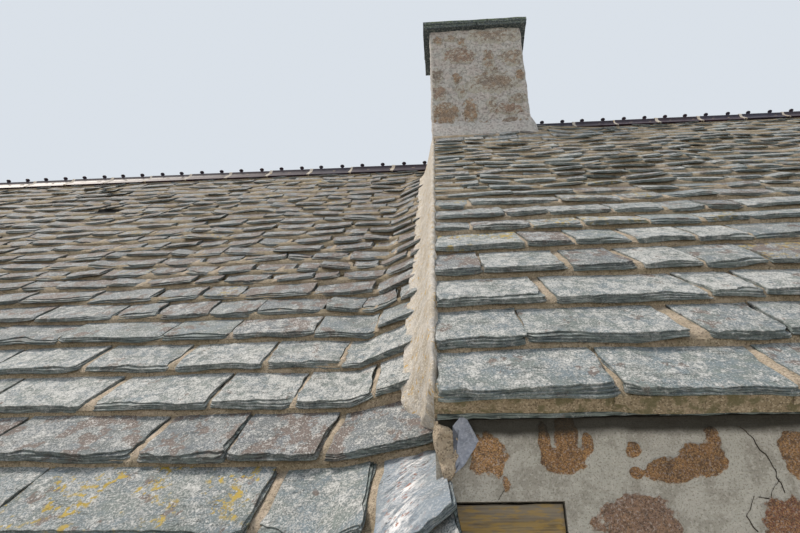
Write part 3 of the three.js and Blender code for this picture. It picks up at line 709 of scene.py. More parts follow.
def dull_sheet_metal():
    """Grey sheet metal dulled by weather: soft blotched sheen, small dents."""
    made = Finish("dull_sheet_metal", "#8f929c", 0.5, Metallic=0.55)
    made.lay("#787c86", made.patches(0.02, 0.5, 0.12))
    made.lay("#a9acb4", made.patches(0.006, 0.3, 0.05), 0.5)
    return made.done((made.grain(60.0), 0.003, 0.4))


def black_iron():
    """Wrought iron, blackened and lightly rusted."""
    made = Finish("black_iron", "#2b2826", 0.6, stones=True, Metallic=0.7)
    made.lay("#5b3a28", made.patches(0.02, 0.4, 0.06), 0.7)
    return made.done()


def mossy_slate():
    """Thick slate slabs on the stack: dark green-grey, moss and pale crust on their upper edges."""
    made = Finish("mossy_slate", "#3f484e", 0.9, stones=True)
    _, edge, growth, _ = made.own()
    made.lay("#50595d", made.patches(0.05, 0.5, 0.1))
    made.lay("#2a302f", edge, 0.5)
    made.lay("#626d4b", made.patches(0.03, 0.55, 0.06, seed=2.0), growth)
    made.lay("#868b83", made.patches(0.015, 0.3, 0.04), 0.6)
    return made.done((made.grain(30.0, 5.0), 0.005, 0.6))


def worn_flagstones():
    """Stone flags about 0.5 m by 0.35 m, worn smooth, with thin mortar joints."""
    made = Finish("worn_flagstones", "#8d8678", 0.8)
    flags = made.add("TexBrick", {
        "Vector": made.place, "Color1": rgba(made.body), "Color2": rgba("#7b766c"), "Mortar": rgba("#5f594e"),
        "Scale": 1.0, "Mortar Size": 0.008, "Brick Width": 0.52, "Row Height": 0.36}, offset=0.5)
    made.body = flags[0]
    made.lay("#9a9284", made.patches(0.09, 0.5, 0.1), 0.6)
    return made.done((made.grain(30.0, 5.0), 0.004, 0.6), (flags[1], -0.004, 0.8))


def plain_glass():
    """Thin clear window glass, slightly green."""
    return Finish("plain_glass", "#dfe9e4", 0.03, Transmission_Weight=1.0, IOR=1.5).done()


def crack_shadow():
    """Painted shade: the dark inside of a crack in mortar."""
    made = Finish("crack_shadow", "#2b251e", 1.0, stones=True)
    made.lay("#4a4136", made.patches(0.01, 0.4, 0.1))
    return made.done()


# Roof slates
NEAR, CLOSE, MIDDLE, FAR = "near", "close", "middle", "far"
# The courses between which sizes change, and each size there as a share of its setting
THINNING_COURSES = (0, 4, 8, 24)
THINNING = {"head_sink": (1.0, 1.0, 0.65, 0.35), "tail_lift": (1.0, 1.0, 0.60, 0.36),
            "slate_thickness": (1.0, 1.0, 0.66, 0.48)}


class Slater:
    """Lays the slates of one slope, course by course."""

    def __init__(self, run, side, joints, seed):
        self.run, self.side, self.listed = run, side, joints
        self.rng = np.random.default_rng(seed)
        self.roof = settings("roof")

    def detail(self, x, along):
        """How finely a slate at this place is made: finest where one stands close to it."""
        if self.side == BACK:
            return FAR
        centre = self.run.place(FRONT, x, along, 0.0)
        distance = np.linalg.norm(centre - np.array(EYE))
        left = EYE[0] - 0.75 * distance - 0.4
        right = EYE[0] + 0.62 * distance + 0.4
        if not left < x < right:
            return FAR
        return NEAR if distance < 2.2 else CLOSE if distance < 3.3 else MIDDLE

    def joints(self, course):
        """The course's joints from left to right: X at tail, X at head, width."""
        listed = self.listed[course] if course < len(self.listed) else []
        shrink = max(0.60, 1 - 0.045 * course)
        low, high = self.roof.slate_narrow * shrink, self.roof.slate_wide * shrink
        made = list(listed)
        left, right = self.run.left, self.run.right
        if self.run.name == "house":
            x = made[-1][0] if made else left
            while x + 2 * low < right:
                x += self.rng.uniform(low, high)
                if x < right - low:
                    made.append(self.random_joint(x, course))
            return made
        x = made[0][0] if made else right
        while x - 2 * low > left:
            x -= self.rng.uniform(low, high)
            if x > left + low:
                made.insert(0, self.random_joint(x, course))
        return made

    def random_joint(self, x, course):
        """A joint near x, a little out of square, wider between the rough slates further up."""
        width = self.roof.joint * self.rng.uniform(0.6, 1.6 + 0.8 * self.loose(course))
        return (x, x + self.rng.uniform(-0.012, 0.012), width)

    @staticmethod
    def loose(course):
        """How rough the slates are: 0 near the eaves, 1 from the ninth course."""
        return min(max((course - 4) / 4, 0.0), 1.0)

    def around_vent(self, joints, tail):
        """The joints of a course, with the missing slate's sides in their place."""
        if self.run.name == "house" or self.side == BACK or abs(tail - VENT_BOTTOM) > 0.02:
            return joints
        clear = [j for j in joints if not VENT_LEFT - 0.16 < j[0] < VENT_RIGHT + 0.16]
        sides = [(VENT_LEFT, VENT_LEFT, 0.006), (VENT_RIGHT, VENT_RIGHT, 0.006)]
        return sorted(clear + sides)

    def courses(self):
        """Each course: its number, tail, head and joints with the two ends."""
        run = self.run
        for course, (tail, head) in enumerate(zip(run.tails[:-1], run.tails[1:])):
            joints = self.around_vent(self.joints(course), tail)
            left = (run.left + 0.006, run.left + 0.006, 0.0)
            right = (run.right - 0.006, run.right - 0.006, 0.0)
            if run.name == "wing" and self.side == FRONT and course in SLAB_ENDS:
                at_tail, at_head = SLAB_ENDS[course]
                right = (run.right + at_tail, run.right + at_head, 0.0)
            yield course, tail, head, [left, *joints, right]

    def hang(self, course, x):
        """How far the tails of a course hang below its line."""
        listed = HANGS.get((self.run.name, course)) if self.side == FRONT else None
        low = np.interp(x, *listed) if listed else 0.0
        wander = 0.004 if course < LOW_COURSES else 0.010
        return low + wander * rough(x, course * 3.7, 0.45, 2.0)

    def rise(self, course, x, along):
        """The sweep or lift of a course, less in the first ones."""
        if self.run is HOUSE or self.side == BACK or course not in SWEEP_SHARE:
            return self.run.rise(x, along)
        tails = self.run.tails[course:course + 2]
        return self.run.rise(x, along) * np.interp(along, tails, SWEEP_SHARE[course])

    def top(self, course, x, along, tail, head, lift):
        """Height of a slate's face over the plane of the tails."""
        share = (along - tail) / (head - tail)
        return mix(lift, -self.thinned("head_sink", course), share) + self.rise(course, x, along)

    def crust(self, course, level, right, turned):
        """Tone, growth and stain of a slate: near those listed close to the eye, duller further up."""
        rng, run = self.rng, self.run
        stain = rng.uniform(0.3, 0.9) if rng.random() < 0.10 else 0.0
        growth, tone = rng.uniform(0.0, 1.0), rng.random() ** 1.7
        if (run.name, course) in CRUSTS and level in (NEAR, CLOSE):
            usual = CRUSTS[run.name, course]
            growth, tone, stain = mix(growth, usual[0], 0.75), mix(tone, usual[1], 0.75), 0.0
        else:
            dull = self.loose(course) * (1.0 if run is WING else 0.35)
            growth, tone = mix(growth, 0.08, dull), mix(tone, 1.0, dull)
        if turned:
            return -1.0, growth, 0.1
        # One slate of the wing's second course is yellow with lichen
        if self.side == FRONT and run is WING and course == 1 and -0.85 < right < -0.75:
            stain = 1.0
        return tone, growth, stain

    def thinned(self, size, course):
        """A size of the roof's settings, less in the thin slates further up."""
        return float(np.interp(course, THINNING_COURSES, THINNING[size])) * getattr(self.roof, size)


def lay_slope(slater, shapes, name, material):
    """The slates of one slope, the low courses as one piece and the rest as another."""
    low, high = Pile(), Pile()
    for course, tail, head, joints in slater.courses():
        for one, two in zip(joints[:-1], joints[1:]):
            if abs(one[0] - VENT_LEFT) < 1e-6 and abs(two[0] - VENT_RIGHT) < 1e-6:
                continue
            lay_slate(low if course < LOW_COURSES else high, shapes, slater, course, tail, head, one, two)
    low.piece(f"{name}_low", material, "roof_slate")
    high.piece(f"{name}_high", material, "roof_slate")


def lay_slate(pile, shapes, slater, course, tail, head, one, two):
    """One slate between two joints: leaves of stone, each broken off in its own line at the tail."""
    rng, run = slater.rng, slater.run
    level = slater.detail((one[0] + two[0]) / 2, tail)
    shape, leaves = shapes[level]
    # Slates further up are more uneven, with rounded lower corners
    loose = slater.loose(course)
    wild = float(np.interp(course, [3, 10], [1.0, 1.8]))
    seed, tilt = rng.uniform(0, 50), rng.uniform(-0.004, 0.004) * (1 + loose)
    lift = slater.thinned("tail_lift", course) + rng.uniform(-0.003, 0.004) * wild ** 1.6
    thickness = slater.thinned("slate_thickness", course) * rng.uniform(0.85, 1.15)
    tail_line = tail - slater.roof.overhang + rng.uniform(-0.004, 0.003) * wild ** 2.6
    cover = min(0.05, 0.4 * (run.length - head)) if head < run.length - 0.01 else -0.004
    span = two[0] - one[0]
    chips = [(mix(rng.uniform(0.012, 0.045), rng.uniform(0.20, 0.55) * span, loose),
              mix(rng.uniform(0.002, 0.014), rng.uniform(0.004, 0.034), loose)) for _ in range(2)]
    taper = rng.uniform(0.1, 0.7) * min(1.0, course / 7)
    # The turned slab at the foot of the sweep has its grain askew
    turned = slater.side == FRONT and run is WING and course == 1 and two[0] > run.right
    askew = 0.85 if turned else 0.0
    tone, growth, stain = slater.crust(course, level, two[0], turned)
    u, v, w = shape.points.T
    if turned:
        # Quartz in a band across its middle
        growth = np.exp(-((u - 0.30 - 0.24 * v) / 0.20) ** 2)
    u = mix(u, 0.5 - 0.5 * np.cos(math.pi * u), 0.55)
    share = v ** 1.5
    gaps = [max(joint[2] / 2 - 0.004, 0.002) for joint in (one, two)]
    left = mix(one[0] + gaps[0], one[1] + 0.7 * gaps[0], share)
    right = mix(two[0] - gaps[1], two[1] - 0.7 * gaps[1], share)
    width = float((right - left).max())
    across = u * width
    line = 0.006 * rough(across, 0, 0.07, seed + 2) + 0.0025 * rough(across, 0, 0.018, seed + 3)
    for corner, (reach, depth) in zip((across, width - across), chips):
        line = line + depth * np.clip(1 - corner / reach, 0, 1) ** 2
    for leaf in range(leaves):
        # Leaves are counted from the bottom one; the upper ones end further back
        own = seed + 3.3 * leaf
        back = 0.010 * np.clip(rough(across, 0, 0.085, own) + 0.25, 0, 1)
        back = back + 0.003 * rough(across, 0, 0.016, own + 1) + 0.0015
        if leaf == leaves - 1:
            back = back + 0.045 * np.clip(rough(across, 0, 0.16, own + 2) - 0.25, 0, 1)
        if leaf:
            line = line + np.maximum(back, 0.0005) * wild ** 0.5
        side = 0.0028 * leaf * np.clip(0.6 + rough(share * 0.3, 0, 0.07, own + 4), 0, 1.4)
        shift = mix(rough(share * 0.3, 0, 0.05, seed), rough(share * 0.3, 0, 0.05, own), u)
        shift = 0.005 * shift + 0.0025 * rough(share * 0.3, 0, 0.016, own) * (2 * u - 1)
        x = mix(left + 0.35 * side, right - side, u) + shift
        along = mix(tail_line - slater.hang(course, x), head + cover, share)
        along = along + np.clip(1 - share * (head - tail) / 0.10, 0, 1) ** 1.5 * line * wild ** 0.5
        face = slater.top(course, x, along, tail, head, lift) + tilt * (2 * u - 1)
        at_tail = np.clip(1 - share * (head - tail) / 0.06, 0, 1) ** 2
        base = face - thickness * (1 + 0.30 * rough(across, 0, 0.11, seed + 7))
        face = face - at_tail * taper * thickness * abs(2 * u - 1) ** 3
        if level != FAR:
            face = face + 0.0016 * rough(x, along, 0.05, seed) + 0.0008 * rough(x, along, 0.014, seed)
        upper = mix(base, face, (leaf + 1) / leaves)
        if leaf < leaves - 1:
            upper = upper - 0.005 * np.clip(2 * share - 0.5, 0, 1)
        lower = mix(base, face, leaf / leaves) - (0.001 if leaf else 0)
        over = mix(upper, lower, -w)
        rim = (w > -0.01) & ((v < 0.01) | (u < 0.01) | (u > 0.99))
        # Sides, underside, lower leaves and the top's rim take the edge colour: broken stone darkened with
        # painted shade
        edge = np.where(w < -0.01, 1.0, 0.25 * rim if leaf == leaves - 1 else 0.55)
        if turned:
            over = over + 0.005 * rough(x * 0.6 + along * 0.8, x * 0.15, 0.022, seed) * (w > -0.01)
        grain_x, grain_y = mix(x, along, math.sin(askew) ** 2), along * math.cos(askew) - x * math.sin(askew)
        grain = columns(grain_x, grain_y, over) + seed
        pile.add_on_slope(shape, run, slater.side, (x, along, over), (tone, edge, growth, stain), grain)


def slaters():
    """The slaters of the four slopes, the same each time."""
    return (Slater(HOUSE, FRONT, HOUSE_JOINTS, 21), Slater(HOUSE, BACK, [], 22),
            Slater(WING, FRONT, WING_JOINTS, 23), Slater(WING, BACK, [], 24))


class COTTAGE_OT_lay_slates(bpy.types.Operator):
    """Lay the slates of the four slopes in graduated courses"""

    bl_idname = "cottage.lay_slates"
    bl_label = "Lay slates"

    def execute(self, context):
        material = riven_schist()
        shapes = {NEAR: (slab(38, 8), 4), CLOSE: (slab(22, 4), 3), MIDDLE: (slab(9, 2), 2),
                  FAR: (slab(3, 2), 1)}
        for slater in slaters():
            lay_slope(slater, shapes, f"{slater.run.name}_{WORDS[slater.side]}_slates", material)
        lay_undercloak(material)
        return {"FINISHED"}


def lay_undercloak(material):
    """Thin slates on the wall head, under the mortar of the first course."""
    thickness = settings("roof").undercloak
    fine, plain = slab(36, 5), slab(6, 2)
    for seed, run, side in ((31, HOUSE, FRONT), (32, HOUSE, BACK), (33, WING, FRONT), (34, WING, BACK)):
        rng = np.random.default_rng(seed)
        pile = Pile()
        left = run.left + 0.004
        while left < run.right - 0.01:
            right = min(left + rng.uniform(0.24, 0.50), run.right - 0.004)
            shape = fine if run is HOUSE and side == FRONT and left < 1.2 else plain
            u, v, w = shape.points.T
            seed = rng.uniform(0, 50)
            x = mix(left + 0.002, right - 0.002, u)
            edge = 0.004 * rough(x, 0, 0.07, seed) + 0.003 * rough(x, 0, 0.02, seed)
            along = mix(-0.003 + rng.uniform(-0.004, 0.003), 0.34, v ** 1.6) + edge * (1 - v) ** 4
            over = -0.0410 + w * thickness + 0.0015 * rough(x, along, 0.03, seed)
            # Seen only at their edge, all in the edge colour: broken stone darkened with painted shade
            pile.add_on_slope(shape, run, side, (x, along, over), (0.2, 1.0, 0.25, 0.0),
                              columns(x, along, over) + seed)
            left = right
        word = WORDS[side]
        piece = pile.piece(f"{run.name}_{word}_undercloak", material, "roof_slate")
        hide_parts(f"{run.name}_eaves_slates_{word}")


class COTTAGE_OT_bed_slates(bpy.types.Operator):
    """Bed the tails in mortar and point the joints between the slates"""

    bl_idname = "cottage.bed_slates"
    bl_label = "Bed slates"

    def execute(self, context):
        material, hidden = lime_bedding(), lime_bedding("lime_bedding_below", stones=False)
        for slater in slaters():
            name, word = slater.run.name, WORDS[slater.side]
            pile, cores = Pile(), Pile()
            bed_slope(pile, cores, slater)
            pile.piece(f"{name}_{word}_bedding", material, "lime_mortar", 60)
            paint_nodes(hidden, f"{name}_roof_{word}")
            if name == "wing":
                piece = cores.piece(f"wing_{word}_sweep_bed", material, "lime_mortar", 60)
                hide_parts(f"wing_sweep_{word}")
        return {"FINISHED"}


def paint_nodes(material, *names):
    """Gives frame nodes their finish."""
    for name in names:
        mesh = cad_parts[name].data
        mesh.materials.clear()
        mesh.materials.append(material)


def bed_slope(pile, cores, slater):
    """Mortar of one slope, and its body where the courses are swept up."""
    run, rng = slater.run, slater.rng
    bars = {NEAR: slab(64, 4), CLOSE: slab(36, 4), MIDDLE: slab(18, 4), FAR: slab(4, 3)}
    laid = {NEAR: slab(6, 18), CLOSE: slab(4, 9), MIDDLE: slab(2, 3), FAR: slab(1, 2)}
    for course, tail, head, joints in slater.courses():
        start = run.left + 0.002
        while start < run.right - 0.01:
            end = min(start + 0.9, run.right - 0.001)
            bar = bars[slater.detail((start + end) / 2, tail)]
            bed_tail(pile, bar, slater, course, tail, start, end, rng.uniform(0, 50))
            start = end
        if run is WING:
            bed_sweep(cores, slater, course, tail, head)
        for joint in joints[1:-1]:
            if abs(tail - VENT_BOTTOM) < 0.02 and VENT_LEFT - 0.01 < joint[0] < VENT_RIGHT + 0.01:
                continue
            point_joint(pile, laid[slater.detail(joint[0], tail)], slater, course, tail, head, joint)


def bed_sweep(pile, slater, course, tail, head):
    """Mortar that carries one course where it is swept up towards the gable."""
    shape = slab(4, 2)
    u, v, w = shape.points.T
    x = mix(slater.run.right - SWEEP_WIDTH - 0.02, slater.run.right - 0.001, u)
    along = mix(tail + 0.004, min(head + 0.06, slater.run.length - 0.1), v)
    rise = slater.rise(course, x, along)
    over = rise - slater.thinned("head_sink", course) - slater.thinned("slate_thickness", course)
    over = over + w * (rise + 0.02)
    pile.add_on_slope(shape, slater.run, slater.side, (x, along, over), (0.3, 0, 0.2, 0))


def bed_tail(pile, shape, slater, course, tail, start, end, seed):
    """A bar of mortar under the tails, running out over the slates below."""
    u, v, w = shape.points.T
    x = mix(start, end, u)
    wave = rough(x, 0, 0.09, seed) + 0.5 * rough(x, v * 0.3, 0.02, seed + 1)
    eaves = course == 0
    deep = 0.0412 if eaves else slater.thinned("head_sink", course - 1) + 0.008
    toe = 0.001 if eaves else -0.014 - 0.006 * slater.loose(course)
    along = tail + np.interp(v, [0, 0.25, 0.5, 0.75, 1], [toe, toe * 0.62, toe * 0.35, 0.001, 0.03])
    if eaves:
        along = tail + np.interp(v, [0, 0.75, 1], [0.002, 0.003, 0.03])
    under = 0.0
    if course:
        under = slater.rise(course, x, tail) - slater.rise(course - 1, x, tail)
    over = np.interp(v, [0, 0.25, 0.5, 0.75, 1], [-deep, -deep * 0.72, -deep * 0.38, 0.001, 0.004])
    over = over - under * np.interp(v, [0, 0.7, 1], [1, 0, 0])
    ripple = 0.004 + 0.008 * slater.loose(course)
    along = along - slater.hang(course, x) + ripple * wave * np.interp(v, [0, 0.75, 1], [1, 0.45, 0])
    over = over + 0.0015 * rough(x, along, 0.012, seed + 2) * (v < 0.9) * (not eaves)
    over = over + 0.02 * w * (not eaves)
    along = along - 0.03 * w * eaves
    light = np.clip(0.25 + 0.5 * rough(x, v, 0.3, seed + 4), 0, 0.6) * (not eaves)
    light = light * (1 - 0.5 * slater.loose(course) * (slater.run is WING))
    pile.add_on_slope(shape, slater.run, slater.side, (x, along, over), (light, 0, 0.8 if eaves else 0.2, 0),
                      lift=slater.rise(course, x, along))


def point_joint(pile, shape, slater, course, tail, head, joint):
    """Mortar between two slates: flush on its right, down the broken edge of the slate on its left."""
    u, v, w = shape.points.T
    seed = slater.rng.uniform(0, 50)
    along = mix(tail - 0.001, head + 0.02, v) - slater.hang(course, joint[0]) * (1 - v)
    half = mix(joint[2] * 0.5, joint[2] * 0.35, v) + 0.004
    spill = 0.003 * np.clip(1 - v / 0.10, 0, 1) ** 2
    half = half + spill + 0.003 * rough(along, 0, 0.03, seed)
    x = mix(joint[0], joint[1], v) + (2 * u - 1) * half + 0.002 * rough(along, u, 0.02, seed + 1)
    lift = slater.thinned("tail_lift", course)
    top = slater.top(course, x, np.maximum(along, tail), tail, head, lift)
    sunk = float(np.interp(course, [2, 6], [0.0095, 0.0035]))
    crown = mix(-sunk, -0.0030, u) - 0.004 * (2 * u - 1) ** 4
    foot = np.clip(1 - (along - tail) / 0.032, 0, 1) ** 1.6
    over = mix(top + crown, slater.rise(course, x, along) + 0.001, foot)
    over = over + 0.0015 * rough(x, along, 0.012, seed + 2) + w * 0.022
    # Paler at random, and darker towards its foot at the tail: painted shade
    light = slater.rng.uniform(0.6, 1.0) * (1 - 0.5 * foot)
    pile.add_on_slope(shape, slater.run, slater.side, (x, along, over), (light, 0, 0.2, 0))


# Verge, skirt and ridge
class COTTAGE_OT_form_verge(bpy.types.Operator):
    """Form the mortar fillets beside the taller gable"""

    bl_idname = "cottage.form_verge"
    bl_label = "Form verge"

    def execute(self, context):
        material = verge_mortar()
        # Height of the house's tails plane over the wing's
        top = (HOUSE.apex - WING.apex) * COS
        for side, shape in ((FRONT, slab(18, 300)), (BACK, slab(8, 60))):
            pile = Pile()
            u, v, w = shape.points.T
            # At its end the fillet runs down over the corner of the taller wall
            along = mix(np.interp(u, [0, 0.35, 1], [0.605, 0.52, 0.372]), 4.42, v)
            ragged = 0.008 * rough(along, 0, 0.16, 3.0) + 0.005 * rough(along, 0, 0.035, 4.0)
            ends = np.clip(0.56 + (along - 0.60) / 0.25, 0.56, 1)
            ends = ends * np.clip((4.424 - along) / 0.05, 0, 1) ** 0.5
            across = np.interp(u, [0, 0.15, 0.35, 0.6, 0.8, 0.9, 1],
                               [-0.104, -0.078, -0.058, -0.036, -0.019, -0.008, 0.004])
            share = np.interp(u, [0, 0.15, 0.35, 0.6, 0.8, 0.9, 1],
                              [-0.10, 0.0, 0.26, 0.62, 0.93, 1.04, 1.02])
            foot = WING.rise(WING.right - 0.07, along) * np.interp(along, [0.6, 0.78], [0.55, 1.0])
            x = WING.right + across * ends + ragged * (1 - u) ** 2
            over = mix(foot + 0.012, top + 0.004, share) + 0.004 * rough(x, along, 0.05, 5.0)
            over = over + 0.002 * rough(x + over, along, 0.014, 6.0)
            x = x - 0.003 * rough(along, over, 0.03, 7.0) + 0.02 * -w
            over = over + 0.05 * w
            pile.add_on_slope(shape, WING, side, (x, along, over))
            piece = pile.piece(f"verge_mortar_{WORDS[side]}", material, "lime_mortar", 60)
            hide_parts(f"verge_fillet_{WORDS[side]}")
        return {"FINISHED"}


def skirt_round_stack(material):
    """Mortar run up from the slates to the foot of the stack."""
    pile = Pile()
    shape = slab(60, 10)
    u, v, w = shape.points.T
    half, reach = STACK_HIGH.y, SKIRT_HIGH.y
    for side in (FRONT, BACK):
        x = mix(STACK_LOW.x + 0.001, SKIRT_HIGH.x - 0.004, u)
        flare = np.clip((x - STACK_HIGH.x) / (SKIRT_HIGH.x - STACK_HIGH.x), 0, 1)
        out = mix(reach + 0.012, half - 0.006, v) + 0.006 * rough(x, v * 0.1, 0.08, 3.0) * (1 - v)
        over = np.interp(v, [0, 0.12, 0.5, 1], [0.020, 0.052, 0.100, 0.137])
        over = over * (1 - 0.55 * flare ** 1.5)
        over = over + 0.004 * rough(x, out, 0.05, 1.0) + 0.002 * rough(x, out, 0.015, 2.0)
        z = HOUSE.apex - out * TAN + over / COS + 0.09 * w
        pile.add(shape, columns(x, side * out, z), mirrored=side == BACK)
    x = mix(STACK_HIGH.x - 0.006, SKIRT_HIGH.x - 0.002, u)
    y = mix(-half, half, v)
    rise = np.interp(u, [0, 0.5, 0.88, 1], [0.118, 0.085, 0.055, 0.015])
    over = rise + 0.004 * rough(x, y, 0.05, 8.0)
    pile.add(shape, columns(x, y, HOUSE.apex - abs(y) * TAN + over / COS + 0.09 * w))
    piece = pile.piece("stack_skirt", material, "lime_mortar", 60)
    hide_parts("chimney_skirt")


class COTTAGE_OT_lay_ridge(bpy.types.Operator):
    """Lay the glazed ridge tiles with their knobs and the mortar between them"""

    bl_idname = "cottage.lay_ridge"
    bl_label = "Lay ridge"

    def execute(self, context):
        glaze, mortar = glazed_earthenware(), verge_mortar("ridge_mortar")
        roof = settings("roof")
        tile, joint, knob = slab(16, 4), slab(16, 1), ridge_knob()
        for run in (HOUSE, WING):
            node = f"{run.name}_ridge_tiles"
            low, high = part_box(node)
            rng = np.random.default_rng(41 if run is HOUSE else 42)
            count = round((high.x - low.x) / roof.tile_length)
            step = (high.x - low.x) / count
            tiles, joints = Pile(), Pile()
            for i in range(count):
                left = low.x + i * step
                tone, thin = rng.random(), rng.uniform(0.2, 1.0)
                lay_tile(tiles, tile, run, left + 0.006, left + step - 0.006, 0.0, rng, tone, thin)
                for at in (0.25, 0.75):
                    set_knob(tiles, knob, run, left + at * step + rng.uniform(-0.006, 0.006), tone)
                if i:
                    lay_tile(joints, joint, run, left - 0.013, left + 0.013, 0.003, rng, 1.0, 0.0)
            piece = tiles.piece(f"{run.name}_ridge", glaze, "ridge_tile", 35)
            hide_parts(node)
            joints.piece(f"{run.name}_ridge_joints", mortar, "lime_mortar", 60)
        return {"FINISHED"}


def lay_tile(pile, shape, run, left, right, proud, rng, tone, thin):
    """One ridge tile or the mortar between two, bent over the ridge."""
    u, v, w = shape.points.T
    thickness, leg, roll = 0.017, 0.148, 0.025
    flat = np.array([run.length - leg, run.length - 0.060, run.length - 0.030])
    lower = run.place(FRONT, 0.0, flat, 0.0015)[:, 1:]
    angles = np.radians([150, 120, 90])
    crown = columns(roll * np.cos(angles), run.apex + 0.021 + roll * np.sin(angles))
    half = np.concatenate([lower + [0, 0.026], crown])
    at, y, z = follow(np.concatenate([half, half[-2::-1] * [-1, 1]]), u)
    lift = proud + rng.uniform(-0.001, 0.002) + mix(0.002, -0.001, v)
    centre = run.apex - 0.10
    away = np.hypot(y, z - centre)
    drop = lift + w * (thickness + proud)
    y, z = y + y / away * drop, z + (z - centre) / away * drop
    x = mix(left, right, v)
    if proud:
        x = x + 0.002 * rough(at, v, 0.03, rng.uniform(0, 9)) + 0.03 * (0.5 - abs(u - 0.5)) - 0.006
    upper_part = np.clip(1.6 - abs(2 * u - 1) * 2, 0, 1)
    pile.add(shape, columns(x, y, z), (tone, (1 - upper_part) * thin, 0.2, 0), mirrored=True)


def ridge_knob():
    """A knob: a short neck under a flattened ball."""
    bm = bmesh.new()
    bmesh.ops.create_uvsphere(bm, u_segments=10, v_segments=7, radius=0.019)
    bmesh.ops.scale(bm, verts=bm.verts, vec=(1, 1, 0.62))
    bmesh.ops.translate(bm, verts=bm.verts, vec=(0, 0, 0.020))
    bmesh.ops.create_cone(bm, cap_ends=True, segments=10, radius1=0.011, radius2=0.009, depth=0.022,
                          matrix=Matrix.Translation((0, 0, 0.006)))
    return Shape(bm)


def set_knob(pile, knob, run, x, tone):
    """A knob on top of the ridge."""
    pile.add(knob, knob.points + [x, 0, run.apex + 0.047], (tone, 0.1, 0.2, 0.0))


# Masonry
class Face:
    """One upright face of masonry. It runs along X or Y and looks towards side."""

    def __init__(self, axis, side, plane):
        self.axis, self.side, self.plane = axis, side, plane
        self.mirrored = (axis == "x") == (side > 0)

    def place(self, s, z, out):
        """Points on the face, out proud of it."""
        depth = self.plane * self.side + self.side * out
        return columns(s, depth, z) if self.axis == "x" else columns(depth, s, z)


FRONT_WALL = Face("x", -1, WALL_FACE)


def lay_stone(pile, shape, face, box, rng, proud, finish):
    """A stone of a coursed wall: a rough rounded face that shows out of its mortar."""
    left, right, low, high = box
    u, v, w = shape.points.T
    a, b = 2 * u - 1, 2 * v - 1
    seed = rng.uniform(0, 50)
    radius = np.maximum(abs(a), abs(b))
    corner = rng.uniform(0.15, 0.45)
    half_width, half_height = (right - left) / 2, (high - low) / 2
    s = a * np.sqrt(1 - corner * b * b) * half_width
    z = b * np.sqrt(1 - corner * a * a) * half_height
    s = s + 0.014 * radius * rough(z, s, 0.08, seed)
    z = z + 0.012 * radius * rough(s, z, 0.09, seed + 1)
    z = z + s * rng.uniform(-0.06, 0.06)
    out = proud * (1.1 - 1.5 * radius ** 4) + 0.0035 * rough(s, z, 0.05, seed + 2)
    out = out + 0.0015 * rough(s, z, 0.018, seed + 3) + w * 0.02
    s, z = s + (left + right) / 2, z + (low + high) / 2
    tone, shade, smear, red = finish
    finish = (tone, shade, np.clip(smear + 0.55 * radius ** 5, 0, 1), red)
    pile.add(shape, face.place(s, z, out), finish, columns(s + seed, out, z), face.mirrored)


def lay_shown_stone(pile, shape, face, lobes, seed, finish, proud=0.0035, wild=1.0, within=(-9.0, 9.0)):
    """A stone that shows through smeared mortar where its lobes (s, z, half width, half height) rise."""
    u, v, w = shape.points.T
    lobes = np.array(lobes)
    low = (lobes[:, :2] - 1.4 * lobes[:, 2:]).min(axis=0)
    high = (lobes[:, :2] + 1.4 * lobes[:, 2:]).max(axis=0)
    s, z = np.clip(mix(low[0], high[0], u), *within), mix(low[1], high[1], v)
    rises = [1 - ((s - cs) / rs) ** 2 - ((z - cz) / rz) ** 2 for cs, cz, rs, rz in lobes]
    rise = np.max(rises, axis=0)
    rise = rise + wild * (0.40 * rough(s, z, 0.030, seed) + 0.30 * rough(s, z, 0.011, seed + 1))
    out = proud * np.clip(2.2 * rise, -0.8, 1) + 0.3 * proud * rough(s, z, 0.02, seed + 2)
    out = out + (0.0012 * rough(s, z, 0.007, seed + 3) + 0.0012) * np.clip(3 * rise, 0, 1)
    rim = np.minimum(np.minimum(u, 1 - u), np.minimum(v, 1 - v))
    out = np.where(rim < 0.03, -0.006, out) + w * 0.01
    tone, shade, smear, red = finish
    finish = (tone, shade, np.clip(np.maximum(smear * (1 - 0.4 * rise), 0.60 - 0.8 * rise), 0, 1), red)
    pile.add(shape, face.place(s, z, out), finish, mirrored=face.mirrored)


def stone_finish(rng):
    """Colour of an ordinary stone: one in three is rusty."""
    tone = rng.uniform(0.5, 0.9) if rng.random() < 0.30 else rng.uniform(0.0, 0.3)
    shade, smear = rng.uniform(0.0, 0.3), rng.uniform(0.15, 0.45)
    return (tone, shade, smear, rng.uniform(0.3, 0.8) * (rng.random() < 0.12))


